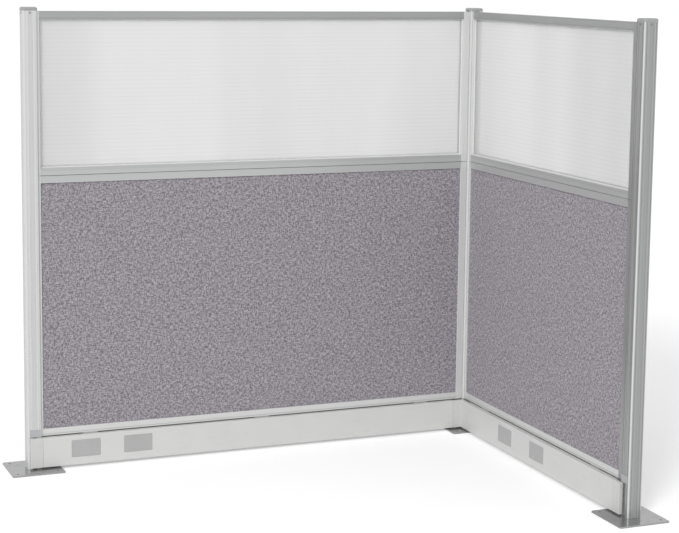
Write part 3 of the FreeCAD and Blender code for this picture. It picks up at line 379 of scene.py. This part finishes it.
@built_once
def dust_and_scuffs(name):
    """Dust where a face looks up, patched by noise, and scuff marks that thin out above the floor.

    Dust is the upward part of the normal times patchy noise. Scuffs are thin lying streaks times one less
    the height over the scuff height.
    """
    tree, given, out = effect(name, {"Place": VECTOR, "Facing": VECTOR, "Colour": COLOUR,
                                     "Roughness": NUMBER, "Dust Colour": COLOUR, "Dust": NUMBER,
                                     "Scuffs": NUMBER, "Scuff Height": NUMBER},
                              {"Colour": COLOUR, "Roughness": NUMBER})
    upward = ramped(tree, parts(tree, given["Facing"])[UP], 0.45, 0.95)
    patches = ramped(tree, noise(tree, given["Place"], scale=11.0, detail=4.0), 0.34, 0.66, 0.35, 1.0)
    dust = sums(tree, "MULTIPLY", sums(tree, "MULTIPLY", upward, patches), given["Dust"])
    rise = sums(tree, "DIVIDE", parts(tree, given["Place"])[UP], given["Scuff Height"])
    low = ramped(tree, rise, 0.05, 1.0, 1.0, 0.0)
    place = vectors(tree, "MULTIPLY", given["Place"], SCUFF_STREAKS)
    streak = ramped(tree, noise(tree, place, detail=5.0, distortion=0.4), 0.57, 0.70)
    scuff = sums(tree, "MULTIPLY", sums(tree, "MULTIPLY", streak, low), given["Scuffs"])
    dusty = mixed(tree, dust, given["Colour"], given["Dust Colour"])
    rougher = sums(tree, "MULTIPLY_ADD", dust, 0.3, given["Roughness"])
    send(tree, out, Colour=scaled(tree, dusty, sums(tree, "MULTIPLY_ADD", scuff, -0.35, 1.0)),
         Roughness=sums(tree, "MULTIPLY_ADD", scuff, 0.2, rougher))
    return tree


@built_once
def tweed_weave(name):
    """Plain weave of flecked yarn, on a place in metres of cloth.

    In the cells of a checkerboard one yarn pitch wide the warp, then the weft, lies on top; each yarn's
    height is the sine of pi times the place over the pitch. A yarn's fleck is noise along its length, read
    at its own number across, so no two yarns match; two noises, each drawn out along one set of yarns,
    gather the flecks into slubs, another mixes in the cooler yarn and a slow one drifts the tone over a
    hand's breadth.
    """
    tree, given, out = effect(name, {"Cut": VECTOR, "Pitch": NUMBER, "Fleck": NUMBER, "Dark": COLOUR,
                                     "Light": COLOUR, "Tint": COLOUR},
                              {"Colour": COLOUR, "Height": NUMBER})
    yarns = scaled(tree, given["Cut"], sums(tree, "DIVIDE", 1.0, given["Pitch"]))
    warp, weft = (wave(tree, turns) for turns in parts(tree, yarns)[:UP])
    cell = wired(tree, "ShaderNodeTexChecker", {"Vector": yarns, "Scale": 1.0}).outputs["Fac"]
    under = sums(tree, "SUBTRACT", 1.0, cell)
    height = weighed(tree, (0.65, weighed(tree, (cell, warp), (under, weft))),
                     (0.35, sums(tree, "MULTIPLY", warp, weft)))

    flecks = scaled(tree, given["Cut"], sums(tree, "DIVIDE", 1.0, given["Fleck"]))
    number = scaled(tree, vectors(tree, "FLOOR", yarns), YARN_STRIDE)
    strands = []
    for across, along in (((1.0, 0.0, 0.0), (0.0, FLECK_RUN, 0.0)),
                          ((0.0, 1.0, 0.0), (FLECK_RUN, 0.0, 0.0))):
        yarn = vectors(tree, "MULTIPLY", number, across)
        place = vectors(tree, "ADD", yarn, vectors(tree, "MULTIPLY", flecks, along))
        strands.append(noise(tree, place, detail=1.0))
    strand = weighed(tree, (cell, strands[0]), (under, strands[1]))
    first, second = (noise(tree, vectors(tree, "MULTIPLY", flecks, run))
                     for run in ((SLUB_WIDTH, SLUB_RUN, 1.0), (SLUB_RUN, SLUB_WIDTH, 1.0)))
    worm = weighed(tree, (0.36, strand), (0.32, first), (0.32, second))

    fleck = mixed(tree, ramped(tree, worm, 0.41, 0.59), given["Dark"], given["Light"])
    cool = ramped(tree, noise(tree, flecks, scale=0.6), 0.5, 0.68, 0.0, 0.5)
    drift = noise(tree, given["Cut"], scale=9.0)
    # Painted shade between the yarns: the tone falls where the weave is low; the slow drift varies it at
    # random
    tone = sums(tree, "ADD", weighed(tree, (0.24, height), (0.07, drift)), 0.845)
    send(tree, out, Colour=scaled(tree, mixed(tree, cool, fleck, given["Tint"]), tone),
         Height=sums(tree, "MULTIPLY_ADD", strand, 0.3, height))
    return tree


@built_once
def sheet_zones(name):
    """Broad upright zones of a sheet, lighter or darker, and painted shade along the level ribs behind its
    skin.

    A zone is noise that is slow in height, and its tone 1 plus the spread times one half less that noise.
    The skin's sag is the size of the sine of pi times the height above the first rib over the ribs' pitch,
    and where it is under a half, beside a rib, the tone is darker: painted shade of the rib.
    """
    tree, given, out = effect(name, {"Place": VECTOR, "Colour": COLOUR, "Spread": NUMBER,
                                     "First Rib": NUMBER, "Pitch": NUMBER},
                              {"Colour": COLOUR, "Height": NUMBER})
    zone = noise(tree, vectors(tree, "MULTIPLY", given["Place"], SHEET_ZONES), detail=1.0)
    tone = sums(tree, "MULTIPLY_ADD", sums(tree, "SUBTRACT", 0.5, zone), given["Spread"], 1.0)
    height = parts(tree, given["Place"])[UP]
    turns = sums(tree, "DIVIDE", sums(tree, "SUBTRACT", height, given["First Rib"]), given["Pitch"])
    sag = wave(tree, turns)
    # Painted shade: the tone is darker beside each rib
    rib_shaded = sums(tree, "MULTIPLY", tone, ramped(tree, sag, 0.0, 0.5, 0.94, 1.0))
    send(tree, out, Colour=scaled(tree, given["Colour"], rib_shaded), Height=sums(tree, "SUBTRACT", 1.0, sag))
    return tree


# Finishes

class Finish:
    """A material in the making: its tree, its shader, and where a point of the piece lies and faces."""

    def __init__(self, name, **constants):
        self.material = bpy.data.materials.new(name)
        self.material.use_nodes = True
        self.tree = self.material.node_tree
        self.shader = self.tree.nodes["Principled BSDF"]
        for label, value in constants.items():
            self.shader.inputs[label.replace("_", " ")].default_value = value
        self.place = wired(self.tree, "ShaderNodeTexCoord").outputs["Object"]
        self.facing = wired(self.tree, "ShaderNodeNewGeometry").outputs["Normal"]

    def group(self, maker, **values):
        """Places an effect group with this material's own values and returns its outputs."""
        inputs = {label.replace("_", " "): value for label, value in values.items()}
        return wired(self.tree, "ShaderNodeGroup", inputs, node_tree=maker()).outputs

    def feed(self, label, value):
        """Links a value to an input of the shader."""
        self.tree.links.new(value, self.shader.inputs[label])

    def wear(self, tone, roughness, dust, scuffs):
        """Lays dust and scuffs over a tone and roughness and feeds both to the shader."""
        worn = self.group(dust_and_scuffs, Place=self.place, Facing=self.facing, Colour=tone,
                          Roughness=roughness, Dust_Colour=opaque(colours().dust), Dust=dust, Scuffs=scuffs,
                          Scuff_Height=sizes().scuff_top)
        self.feed("Base Color", worn["Colour"])
        self.feed("Roughness", worn["Roughness"])

    def relief(self, height, depth, strength):
        """Bumps the surface by a height map of the given depth in metres and returns the material."""
        inputs = {"Height": height, "Distance": depth, "Strength": strength}
        self.feed("Normal", wired(self.tree, "ShaderNodeBump", inputs).outputs[0])
        return self.material


def stretch(along, fine, coarse=DIE_RUN):
    """Scales for lines along one axis: coarse along it and fine across it, in lines per metre."""
    return tuple(coarse if axis == along else fine for axis in (ACROSS, DEEP, UP))


def anodised(name, rgb, along, metallic=0.3, roughness=0.33, lines=None, post=None):
    """Satin anodised extrusion with its drawing lines along one axis.

    A rail may have lines of painted shade, also bumped as shallow grooves, given as the inputs of their
    effect.
    A post has rounded corners with a painted highlight round the middle of its own box.
    """
    finish = Finish(name, Metallic=metallic, IOR=1.45)
    grain = finish.group(drawn_metal_grain, Place=finish.place, Stretch=stretch(along, DIE_LINES),
                         Colour=opaque(rgb), Tone_Spread=0.025, Roughness=roughness, Roughness_Spread=0.2)
    tone, rough, height, depth = grain["Colour"], grain["Roughness"], grain["Height"], 0.0001
    # Lines of painted shade darken the rail at two heights, and their height map bumps shallow grooves
    if lines:
        line_shade = finish.group(pressed_lines, Place=finish.place, Colour=tone, **lines)
        tone, height, depth = line_shade["Colour"], line_shade["Height"], 0.0005
    # Painted highlight: the post's rounded corners mix towards a lighter colour and get less roughness
    if post:
        low, high = (Vector(corner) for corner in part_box(post))
        lit = finish.group(rubbed_corners, Place=finish.place, Centre=(low + high) / 2.0,
                              Reach=(high.x - low.x) / 2.0 - sizes().corner_rub,
                              Fade=sizes().corner_fade, Colour=tone, Polish=opaque(colours().polish),
                              Roughness=rough, Shine=0.22)
        tone, rough = lit["Colour"], lit["Roughness"]
    finish.wear(tone, rough, dust=0.2, scuffs=0.15)
    return finish.relief(height, depth, strength=0.25)


def bright_plate(name, rgb):
    """Bright rolled steel, which mirrors what stands on it, with fine lines along the roll."""
    finish = Finish(name, Metallic=0.62, IOR=1.5)
    grain = finish.group(drawn_metal_grain, Place=finish.place,
                         Stretch=stretch(ACROSS, ROLL_LINES, ROLL_RUN), Colour=opaque(rgb),
                         Tone_Spread=0.05, Roughness=0.18, Roughness_Spread=0.1)
    finish.wear(grain["Colour"], grain["Roughness"], dust=0.12, scuffs=0.25)
    return finish.relief(grain["Height"], depth=0.0001, strength=0.12)


def mill_metal(name, rgb, along):
    """Bare extrusion as it comes off the press, duller and more streaked."""
    finish = Finish(name, Metallic=0.55, IOR=1.45)
    grain = finish.group(drawn_metal_grain, Place=finish.place, Stretch=stretch(along, MILL_LINES),
                         Colour=opaque(rgb), Tone_Spread=0.12, Roughness=0.5, Roughness_Spread=0.4)
    finish.wear(grain["Colour"], grain["Roughness"], dust=0.6, scuffs=0.2)
    return finish.relief(grain["Height"], depth=0.0003, strength=0.35)


def zinc_plate(name, rgb):
    """Zinc-plated steel of screws and bolts, with fine crystals of uneven shine."""
    finish = Finish(name, Metallic=0.8, IOR=1.5)
    grain = finish.group(moulded_pebble, Place=finish.place, Stretch=(ZINC_GRAINS,) * 3,
                         Colour=opaque(rgb), Tone_Spread=0.12, Roughness=0.36, Roughness_Spread=0.5)
    finish.wear(grain["Colour"], grain["Roughness"], dust=0.3, scuffs=0.0)
    return finish.material


def moulded(name, rgb, pebble, roughness, dust=0.15, scuffs=0.0, depth=0.0002, metallic=0.0):
    """Moulded plastic or rubber, sprayed paint or board, with pebbles of the given size in metres."""
    finish = Finish(name, Metallic=metallic, IOR=1.48)
    skin = finish.group(moulded_pebble, Place=finish.place, Stretch=(1.0 / pebble,) * 3,
                        Colour=opaque(rgb), Tone_Spread=0.035, Roughness=roughness, Roughness_Spread=0.25)
    finish.wear(skin["Colour"], skin["Roughness"], dust, scuffs)
    return finish.relief(skin["Height"], depth, strength=0.3)


def tweed(name):
    """Heather tweed of dark, light and cool flecks, on the cloth's own cut."""
    finish = Finish(name, IOR=1.4, Sheen_Weight=0.12, Sheen_Roughness=0.5, Roughness=0.92)
    cut = wired(finish.tree, "ShaderNodeUVMap", uv_map="Cut").outputs["UV"]
    cloth = finish.group(tweed_weave, Cut=cut, Pitch=sizes().yarn_pitch, Fleck=sizes().fleck_size,
                         Dark=opaque(colours().yarn_dark), Light=opaque(colours().yarn_light),
                         Tint=opaque(colours().yarn_tint))
    finish.feed("Base Color", cloth["Colour"])
    return finish.relief(cloth["Height"], depth=0.0006, strength=0.6)


def fluted_sheet(name):
    """Translucent sheet whose pale skins let most of the light through, with upright zones and painted
    shade along its level ribs.

    The ribs fill the sheet's height from the middle, so the first lies half of what is left of a pitch
    above its foot.
    """
    finish = Finish(name, IOR=1.4, Roughness=0.6, Alpha=0.38)
    low, high = (corner[UP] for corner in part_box("long_wall_window_pane"))
    pitch = sizes().flute_pitch
    zones = finish.group(sheet_zones, Place=finish.place, Colour=opaque(colours().window), Spread=0.48,
                         First_Rib=low + (high - low) % pitch / 2.0, Pitch=pitch)
    finish.feed("Base Color", zones["Colour"])
    return finish.relief(zones["Height"], depth=0.0002, strength=0.2)


def dress(material, *names):
    """Gives nodes of the solid model a finish."""
    for name in names:
        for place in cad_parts[name].material_slots:
            place.material = material


# Fabric and glazing beads

def opening(wall, level):
    """Edges of the opening in a wall's window or panel frame: low and high along the wall, then upwards."""
    along, _ = WALLS[wall]
    slim, wide, bottom, top = (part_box("%s_%s_%s" % (wall, level, part))
                               for part in ("slim_stile", "wide_stile", "bottom_rail", "top_rail"))
    first, last = sorted((slim, wide), key=lambda stile: stile[0][along])
    return np.array([[first[1][along], last[0][along]], [bottom[1][UP], top[0][UP]]])


def placed(name, points, quads):
    """A new object at the origin, with its place in its mesh."""
    mesh = bpy.data.meshes.new(name)
    mesh.from_pydata(points.reshape(-1, 3), [], quads.reshape(-1, 4).tolist())
    mesh.update()
    item = bpy.data.objects.new(name, mesh)
    bpy.context.scene.collection.objects.link(item)
    return item


def grid_object(name, points, cut, turned):
    """A smooth surface through a grid of points, with the place on the flat cut in metres as its UV map."""
    rows, columns = points.shape[:2]
    index = np.arange(rows * columns).reshape(rows, columns)
    quads = np.stack([index[:-1, :-1], index[1:, :-1], index[1:, 1:], index[:-1, 1:]], axis=-1)
    if turned:
        quads = quads[..., ::-1]
    item = placed(name, points, quads)
    layer = item.data.uv_layers.new(name="Cut")
    layer.data.foreach_set("uv", cut.reshape(-1, 2)[quads.ravel()].ravel())
    item.data.shade_smooth()
    return item


def ticks(low, high, folds):
    """Places along one side of the cut: close together in the folds and the crown, wide apart between.

    The folds reach out past low and high by each value of folds; the crown's places lie at rising shares of
    its run inside them; the rest are spread evenly, at most one step apart.
    """
    run = sizes().crown_run
    rise = run * CROWN_SHARES
    count = int(np.ceil((high - low - 2.0 * run) / SKIN_STEP))
    middle = np.linspace(low + run, high - run, count + 1)[1:-1]
    return np.concatenate([low - folds[::-1], low + rise, middle, high - rise[::-1], high + folds])


def folded(flat, lying, radius):
    """Cloth turned back over a board's edges: places across its face, and depths behind it.

    Outside the part that lies flat, d is the larger of the two overhangs, and the cloth turns with it: it
    goes out by r sin(d / r) and back by r (1 - cos(d / r)) up to a right angle, then straight back.
    """
    nearest = np.clip(flat, lying[:, 0], lying[:, 1])
    past = flat - nearest
    overhang = np.abs(past).max(axis=-1)
    reach = np.linalg.norm(past, axis=-1)
    direction = past / np.where(reach > 0.0, reach, 1.0)[..., None]
    angle = np.minimum(overhang / radius, pi / 2.0)
    spread = nearest + direction * (radius * np.sin(angle))[..., None]
    return spread, radius * (1.0 - np.cos(angle)) + np.maximum(overhang - radius * pi / 2.0, 0.0)


def crowned(flat, gap):
    """How far stretched cloth swells out between the edges of its frame.

    It is the crown times s * s * (3 - 2 s), where s is the distance from the nearest edge over the run,
    held between 0 and 1.
    """
    margin = np.minimum(flat - gap[:, 0], gap[:, 1] - flat).min(axis=-1)
    share = np.clip(margin / sizes().crown_run, 0.0, 1.0)
    return sizes().skin_crown * share * share * (3.0 - 2.0 * share)


def stretched_skin(wall, face):
    """Fabric drawn over one face of a tackable board, on a grid of its flat cut.

    The cloth lies flat on the board's face less one fold radius all round, and turns back outside that.
    """
    along, out = WALLS[wall]
    board = "%s_%s_fabric_panel" % (wall, face)
    low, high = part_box(board)
    outward = -1.0 if face == "inner" else 1.0
    front = low[out] if face == "inner" else high[out]
    radius = sizes().turn_radius
    lying = np.array([[low[along], high[along]], [low[UP], high[UP]]]) + [radius, -radius]
    quarter = radius * pi / 2.0
    folds = np.append(quarter * FOLD_SHARES, quarter + sizes().skin_wrap - radius)
    flat = np.stack(np.meshgrid(*(ticks(*side, folds) for side in lying), indexing="ij"), axis=-1)
    spread, back = folded(flat, lying, radius)
    points = np.empty(flat.shape[:2] + (3,))
    points[..., along] = spread[..., 0]
    points[..., UP] = spread[..., 1]
    points[..., out] = front + outward * (crowned(flat, opening(wall, "panel")) - back)

    skin = grid_object("%s_%s_fabric_skin" % (wall, face), points, flat,
                       turned=(outward > 0.0) == (along == ACROSS))
    cloth = skin.modifiers.new("Cloth thickness", "SOLIDIFY")
    cloth.thickness = sizes().skin_thickness
    cloth.offset = -1.0
    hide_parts(board)
    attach(skin, "walls")
    return skin


def glazing_beads(wall):
    """Trim round a window on both faces of its sheet: one profile carried round the opening, mitred.

    A profile point (a, b) lies a inside the opening's edge and b out from the sheet's middle, so its loop
    is the opening's rectangle drawn in by a; the other face has the same loops at -b.
    """
    along, out = WALLS[wall]
    (left, right), (bottom, top) = opening(wall, "window")
    sheet, gasket = (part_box("%s_window_%s" % (wall, part)) for part in ("pane", "gaskets"))
    middle = (sheet[0][out] + sheet[1][out]) / 2.0
    foot = gasket[1][out] - middle + sizes().bead_lift
    width, edge, rise = sizes().bead_width, sizes().bead_edge, sizes().bead_rise
    chamfer = edge * BEAD_CHAMFER_SHARE
    profile = np.array([(0.0, foot), (width, foot), (width, foot + edge - chamfer),
                        (width - chamfer, foot + edge), (2.0 * chamfer, foot + rise), (0.0, foot + rise)])
    corners = np.array([(left, bottom), (right, bottom), (right, top), (left, top)])
    inward = np.array([(1.0, 1.0), (-1.0, 1.0), (-1.0, -1.0), (1.0, -1.0)])
    loops = corners[:, None, :] + inward[:, None, :] * profile[None, :, :1]
    sides = np.array([-1.0, 1.0])
    points = np.empty((2,) + loops.shape[:2] + (3,))
    points[..., along] = loops[None, ..., 0]
    points[..., UP] = loops[None, ..., 1]
    points[..., out] = middle + sides[:, None, None] * profile[None, None, :, 1]

    # The two rings mirror each other, so the faces of one are turned; which one depends on the wall's axis
    index = np.arange(points.size // 3).reshape(points.shape[:3])
    after, across = np.roll(index, -1, axis=1), np.roll(index, -1, axis=2)
    quads = np.stack([index, across, np.roll(after, -1, axis=2), after], axis=-1)
    turned = 0 if out == ACROSS else 1
    quads[turned] = quads[turned][..., ::-1].copy()
    item = placed("%s_glazing_beads" % wall, points, quads)
    soften = item.modifiers.new("Edge break", "BEVEL")
    soften.width = sizes().bead_break
    soften.segments = 2
    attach(item, "walls")
    return item


# Steps of the add-on

def rail_lines(wall, part):
    """The lines of painted shade of one rail, as the inputs of their effect, at heights counted from its
    foot.
    """
    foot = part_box("%s_%s" % (wall, part))[0][UP]
    first, second, width, shade = RAIL_SHADE_LINES[part]
    return {"First": foot + first, "Second": foot + second, "Width": width, "Shade": shade}


class CUBICLE_OT_fabric(bpy.types.Operator):
    """Stretches tweed over both faces of the two tackable panels"""
    bl_idname = "cubicle.fabric"
    bl_label = "Fabric Skins"

    def execute(self, context):
        cloth = tweed("Heather Tweed")
        for wall in WALLS:
            for face in FACES:
                stretched_skin(wall, face).data.materials.append(cloth)
        board = moulded("Core Board", colours().core, pebble=0.004, roughness=0.9, dust=0.1)
        dress(board, *("%s_panel_core" % wall for wall in WALLS))
        return {"FINISHED"}


class CUBICLE_OT_frames(bpy.types.Operator):
    """Finishes the rails and stiles of the walls"""
    bl_idname = "cubicle.frames"
    bl_label = "Wall Frames"

    def execute(self, context):
        # Lit and shaded copies of one rail finish: painted shade on the top rails, painted light on the
        # bottom rails
        rails = {"window_top_rail": colours().top_rail, "window_bottom_rail": colours().middle_rail,
                 "panel_top_rail": colours().middle_rail, "panel_bottom_rail": colours().bottom_rail}
        # The short wall's wide stiles take a darker copy of the stile finish: painted shade
        stile = anodised("Anodised Stile", colours().stile, UP, metallic=0.2)
        end_stile = anodised("Anodised End Stile", colours().end_stile, UP)
        wide_stiles = {"long_wall": stile, "short_wall": end_stile}
        for wall, (along, _) in WALLS.items():
            for part, rgb in rails.items():
                name = "%s_%s" % (wall, part)
                label = name.replace("_", " ").title()
                dress(anodised(label, rgb, along, lines=rail_lines(wall, part)), name)
            for level in ("window", "panel"):
                dress(stile, "%s_%s_slim_stile" % (wall, level))
                dress(wide_stiles[wall], "%s_%s_wide_stile" % (wall, level))
        return {"FINISHED"}


class CUBICLE_OT_posts(bpy.types.Operator):
    """Finishes the posts, their filler strips, caps and base plates"""
    bl_idname = "cubicle.posts"
    bl_label = "Posts"

    def execute(self, context):
        # The right post takes a darker copy of the posts' tone, which is painted shade, and its filler
        # strips share it
        tones = {"left": colours().end_post, "corner": colours().end_post, "right": colours().right_post}
        cap = moulded("Cap Plastic", colours().cap, pebble=0.0012, roughness=0.55, dust=0.25)
        plate = bright_plate("Bright Plate", colours().plate)
        for post in POSTS:
            label, node = post.title(), post + "_post"
            dress(anodised("Anodised %s Post" % label, tones[post], UP, metallic=0.4, roughness=0.28,
                           post=node), node)
            strip = tuple(STRIP_TONE * value for value in tones[post])
            dress(anodised("%s Filler Strip" % label, strip, UP, metallic=0.1, roughness=0.4),
                  post + "_filler_strips")
            dress(cap, post + "_post_cap")
            dress(plate, post + "_base_plate")
        return {"FINISHED"}


class CUBICLE_OT_windows(bpy.types.Operator):
    """Finishes the fluted sheets and their gaskets, and trims both faces with glazing beads"""
    bl_idname = "cubicle.windows"
    bl_label = "Windows"

    def execute(self, context):
        dress(fluted_sheet("Fluted Sheet"), *("%s_window_pane" % wall for wall in WALLS))
        rubber = moulded("Gasket Rubber", colours().gasket, pebble=0.0008, roughness=0.75, dust=0.2)
        dress(rubber, *("%s_window_gaskets" % wall for wall in WALLS))
        trim = moulded("Bead Plastic", colours().bead, pebble=0.0008, roughness=0.4)
        for wall in WALLS:
            glazing_beads(wall).data.materials.append(trim)
        return {"FINISHED"}


class CUBICLE_OT_raceway(bpy.types.Operator):
    """Finishes the raceway: covers, outlet blanks, end and corner covers, channels"""
    bl_idname = "cubicle.raceway"
    bl_label = "Raceway"

    def execute(self, context):
        trim = moulded("Cover Plastic", colours().end_cover, pebble=0.0010, roughness=0.42, scuffs=0.15)
        blank = moulded("Blank Plastic", colours().blank, pebble=0.0009, roughness=0.45, dust=0.12,
                        scuffs=0.1)
        for wall, (along, _) in WALLS.items():
            label = wall.replace("_", " ").title()
            paint = moulded(label + " Cover Paint", colours().cover, pebble=0.0022, roughness=0.38,
                            scuffs=0.12, depth=0.00012, metallic=0.1)
            dress(paint, *("%s_%s_raceway_cover" % (wall, face) for face in FACES))
            dress(blank, *("%s_outlet_blank_%d" % (wall, number) for number in (1, 2)))
            dress(mill_metal(label + " Channel", colours().channel, along), wall + "_raceway_channel")
        dress(trim, *("%s_%s_end_cover" % (end, face) for end in ENDS for face in FACES))
        dress(trim, *("corner_%s_cover" % face for face in FACES))
        return {"FINISHED"}


class CUBICLE_OT_hardware(bpy.types.Operator):
    """Finishes screws, bolts, connectors and hangers"""
    bl_idname = "cubicle.hardware"
    bl_label = "Hardware"

    def execute(self, context):
        zinc = zinc_plate("Zinc Plate", colours().screw)
        dress(zinc, "cap_screws", "frame_screws", "base_plate_screws", "raceway_hanger_bolts")
        block = mill_metal("Mill Metal Blocks", colours().channel, UP)
        dress(block, "frame_connectors", "raceway_hangers")
        return {"FINISHED"}


# Camera and stage, in metres and radians

CAMERA_PLACE = Vector((-2.3462, -5.8646, 1.9394))
CAMERA_YAW, CAMERA_PITCH, CAMERA_ROLL = 0.390, 0.136, 0.012
CAMERA_LENS, SENSOR_WIDTH, CAMERA_SHIFT = 92.74, 36.0, -0.0884
CAMERA_REACH = 500.0
FLOOR_HALF = 60.0
WHITE = (1.0, 1.0, 1.0, 1.0)

# The floor's tone, and the glow that lifts it to white where the camera sees it
FLOOR_TONE, FLOOR_GLOW = 0.86, 0.31

# The sky's strength as light on the pieces and as the camera sees it
SKY_LIGHT, SKY_SEEN = 0.59, 1.0


def camera_axes(yaw, pitch, roll):
    """Right, up and back axes of a camera turned right from +Y by yaw, down by pitch, and then rolled."""
    ahead = Vector((sin(yaw) * cos(pitch), cos(yaw) * cos(pitch), -sin(pitch)))
    level = Vector((cos(yaw), -sin(yaw), 0.0))
    above = level.cross(ahead)
    right = cos(roll) * level + sin(roll) * above
    up = cos(roll) * above - sin(roll) * level
    return right, up, -ahead


def sun(name, towards, strength, angle):
    """A broad sun that shines along a direction: its light is the same all over the stage."""
    lamp = bpy.data.lights.new(name, "SUN")
    lamp.energy = strength
    lamp.angle = angle
    item = bpy.data.objects.new(name, lamp)
    item.rotation_euler = Vector(towards).to_track_quat("-Z", "Y").to_euler()
    bpy.context.scene.collection.objects.link(item)


def seen_directly(tree):
    """1 for what the camera sees itself, in a gloss or through a sheet, and 0 for light on a surface."""
    path = wired(tree, "ShaderNodeLightPath").outputs
    share = sums(tree, "MAXIMUM", path["Is Camera Ray"], path["Is Glossy Ray"])
    return sums(tree, "MAXIMUM", share, path["Is Transmission Ray"])


class CUBICLE_OT_stage(bpy.types.Operator):
    """Sets up the camera, the floor, the world and the lamps"""
    bl_idname = "cubicle.stage"
    bl_label = "Camera and Stage"

    def execute(self, context):
        self.camera(context.scene)
        self.floor()
        self.world(context.scene)
        sun("Key Light", towards=(0.62, 0.62, -0.52), strength=1.7, angle=0.3)
        sun("Fill Light", towards=(-0.3, 0.7, -0.35), strength=0.2, angle=1.2)
        return {"FINISHED"}

    def camera(self, scene):
        """Sets up the camera at its place, turn and lens."""
        data = bpy.data.cameras.new("Camera")
        data.sensor_width = SENSOR_WIDTH
        data.lens = CAMERA_LENS
        data.shift_y = CAMERA_SHIFT
        data.clip_end = CAMERA_REACH
        camera = bpy.data.objects.new("Camera", data)
        turn = Matrix(camera_axes(CAMERA_YAW, CAMERA_PITCH, CAMERA_ROLL)).transposed().to_4x4()
        camera.matrix_world = Matrix.Translation(CAMERA_PLACE) @ turn
        scene.collection.objects.link(camera)
        scene.camera = camera
        scene.view_settings.view_transform = "Standard"

    def floor(self):
        """Lays a wide, white floor under the posts' plates."""
        corners = np.array([(-1.0, -1.0, 0.0), (1.0, -1.0, 0.0), (1.0, 1.0, 0.0), (-1.0, 1.0, 0.0)])
        ground = placed("stage_floor", FLOOR_HALF * corners, np.arange(len(corners)))
        finish = Finish("Stage Floor", Roughness=0.9, Specular_IOR_Level=0.0,
                        Base_Color=opaque((FLOOR_TONE,) * 3), Emission_Color=WHITE)
        glow = sums(finish.tree, "MULTIPLY", seen_directly(finish.tree), FLOOR_GLOW)
        finish.feed("Emission Strength", glow)
        ground.data.materials.append(finish.material)

    def world(self, scene):
        """Lights everything from a plain white sky."""
        world = bpy.data.worlds.new("Studio")
        scene.world = world
        world.use_nodes = True
        tree = world.node_tree
        sky = tree.nodes["Background"]
        sky.inputs["Color"].default_value = WHITE
        strength = sums(tree, "MULTIPLY_ADD", seen_directly(tree), SKY_SEEN - SKY_LIGHT, SKY_LIGHT)
        tree.links.new(strength, sky.inputs["Strength"])


class CUBICLE_PT_panel(bpy.types.Panel):
    """Lists the steps that dress the cubicle, with their sizes and colours"""
    bl_idname = "CUBICLE_PT_panel"
    bl_label = "Cubicle Workstation"
    bl_space_type = "VIEW_3D"
    bl_region_type = "UI"
    bl_category = "Cubicle"

    def draw(self, context):
        for step in STEPS:
            self.layout.operator(step.bl_idname)
        for group in (context.scene.cubicle_sizes, context.scene.cubicle_colours):
            column = self.layout.column()
            for name in group.bl_rna.properties.keys():
                if name not in ("rna_type", "name"):
                    column.prop(group, name)


STEPS = (CUBICLE_OT_fabric, CUBICLE_OT_frames, CUBICLE_OT_posts, CUBICLE_OT_windows, CUBICLE_OT_raceway,
         CUBICLE_OT_hardware, CUBICLE_OT_stage)
CLASSES = (CubicleSizes, CubicleColours) + STEPS + (CUBICLE_PT_panel,)


def register():
    """Registers the classes and hangs sizes and colours on the scene."""
    for item in CLASSES:
        bpy.utils.register_class(item)
    bpy.types.Scene.cubicle_sizes = PointerProperty(type=CubicleSizes)
    bpy.types.Scene.cubicle_colours = PointerProperty(type=CubicleColours)


def unregister():
    """Takes back what register did."""
    del bpy.types.Scene.cubicle_colours
    del bpy.types.Scene.cubicle_sizes
    for item in reversed(CLASSES):
        bpy.utils.unregister_class(item)


def main():
    """Registers the add-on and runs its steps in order."""
    register()
    for step in STEPS:
        getattr(bpy.ops.cubicle, step.bl_idname.split(".")[1])()


if __name__ == "__main__":
    main()
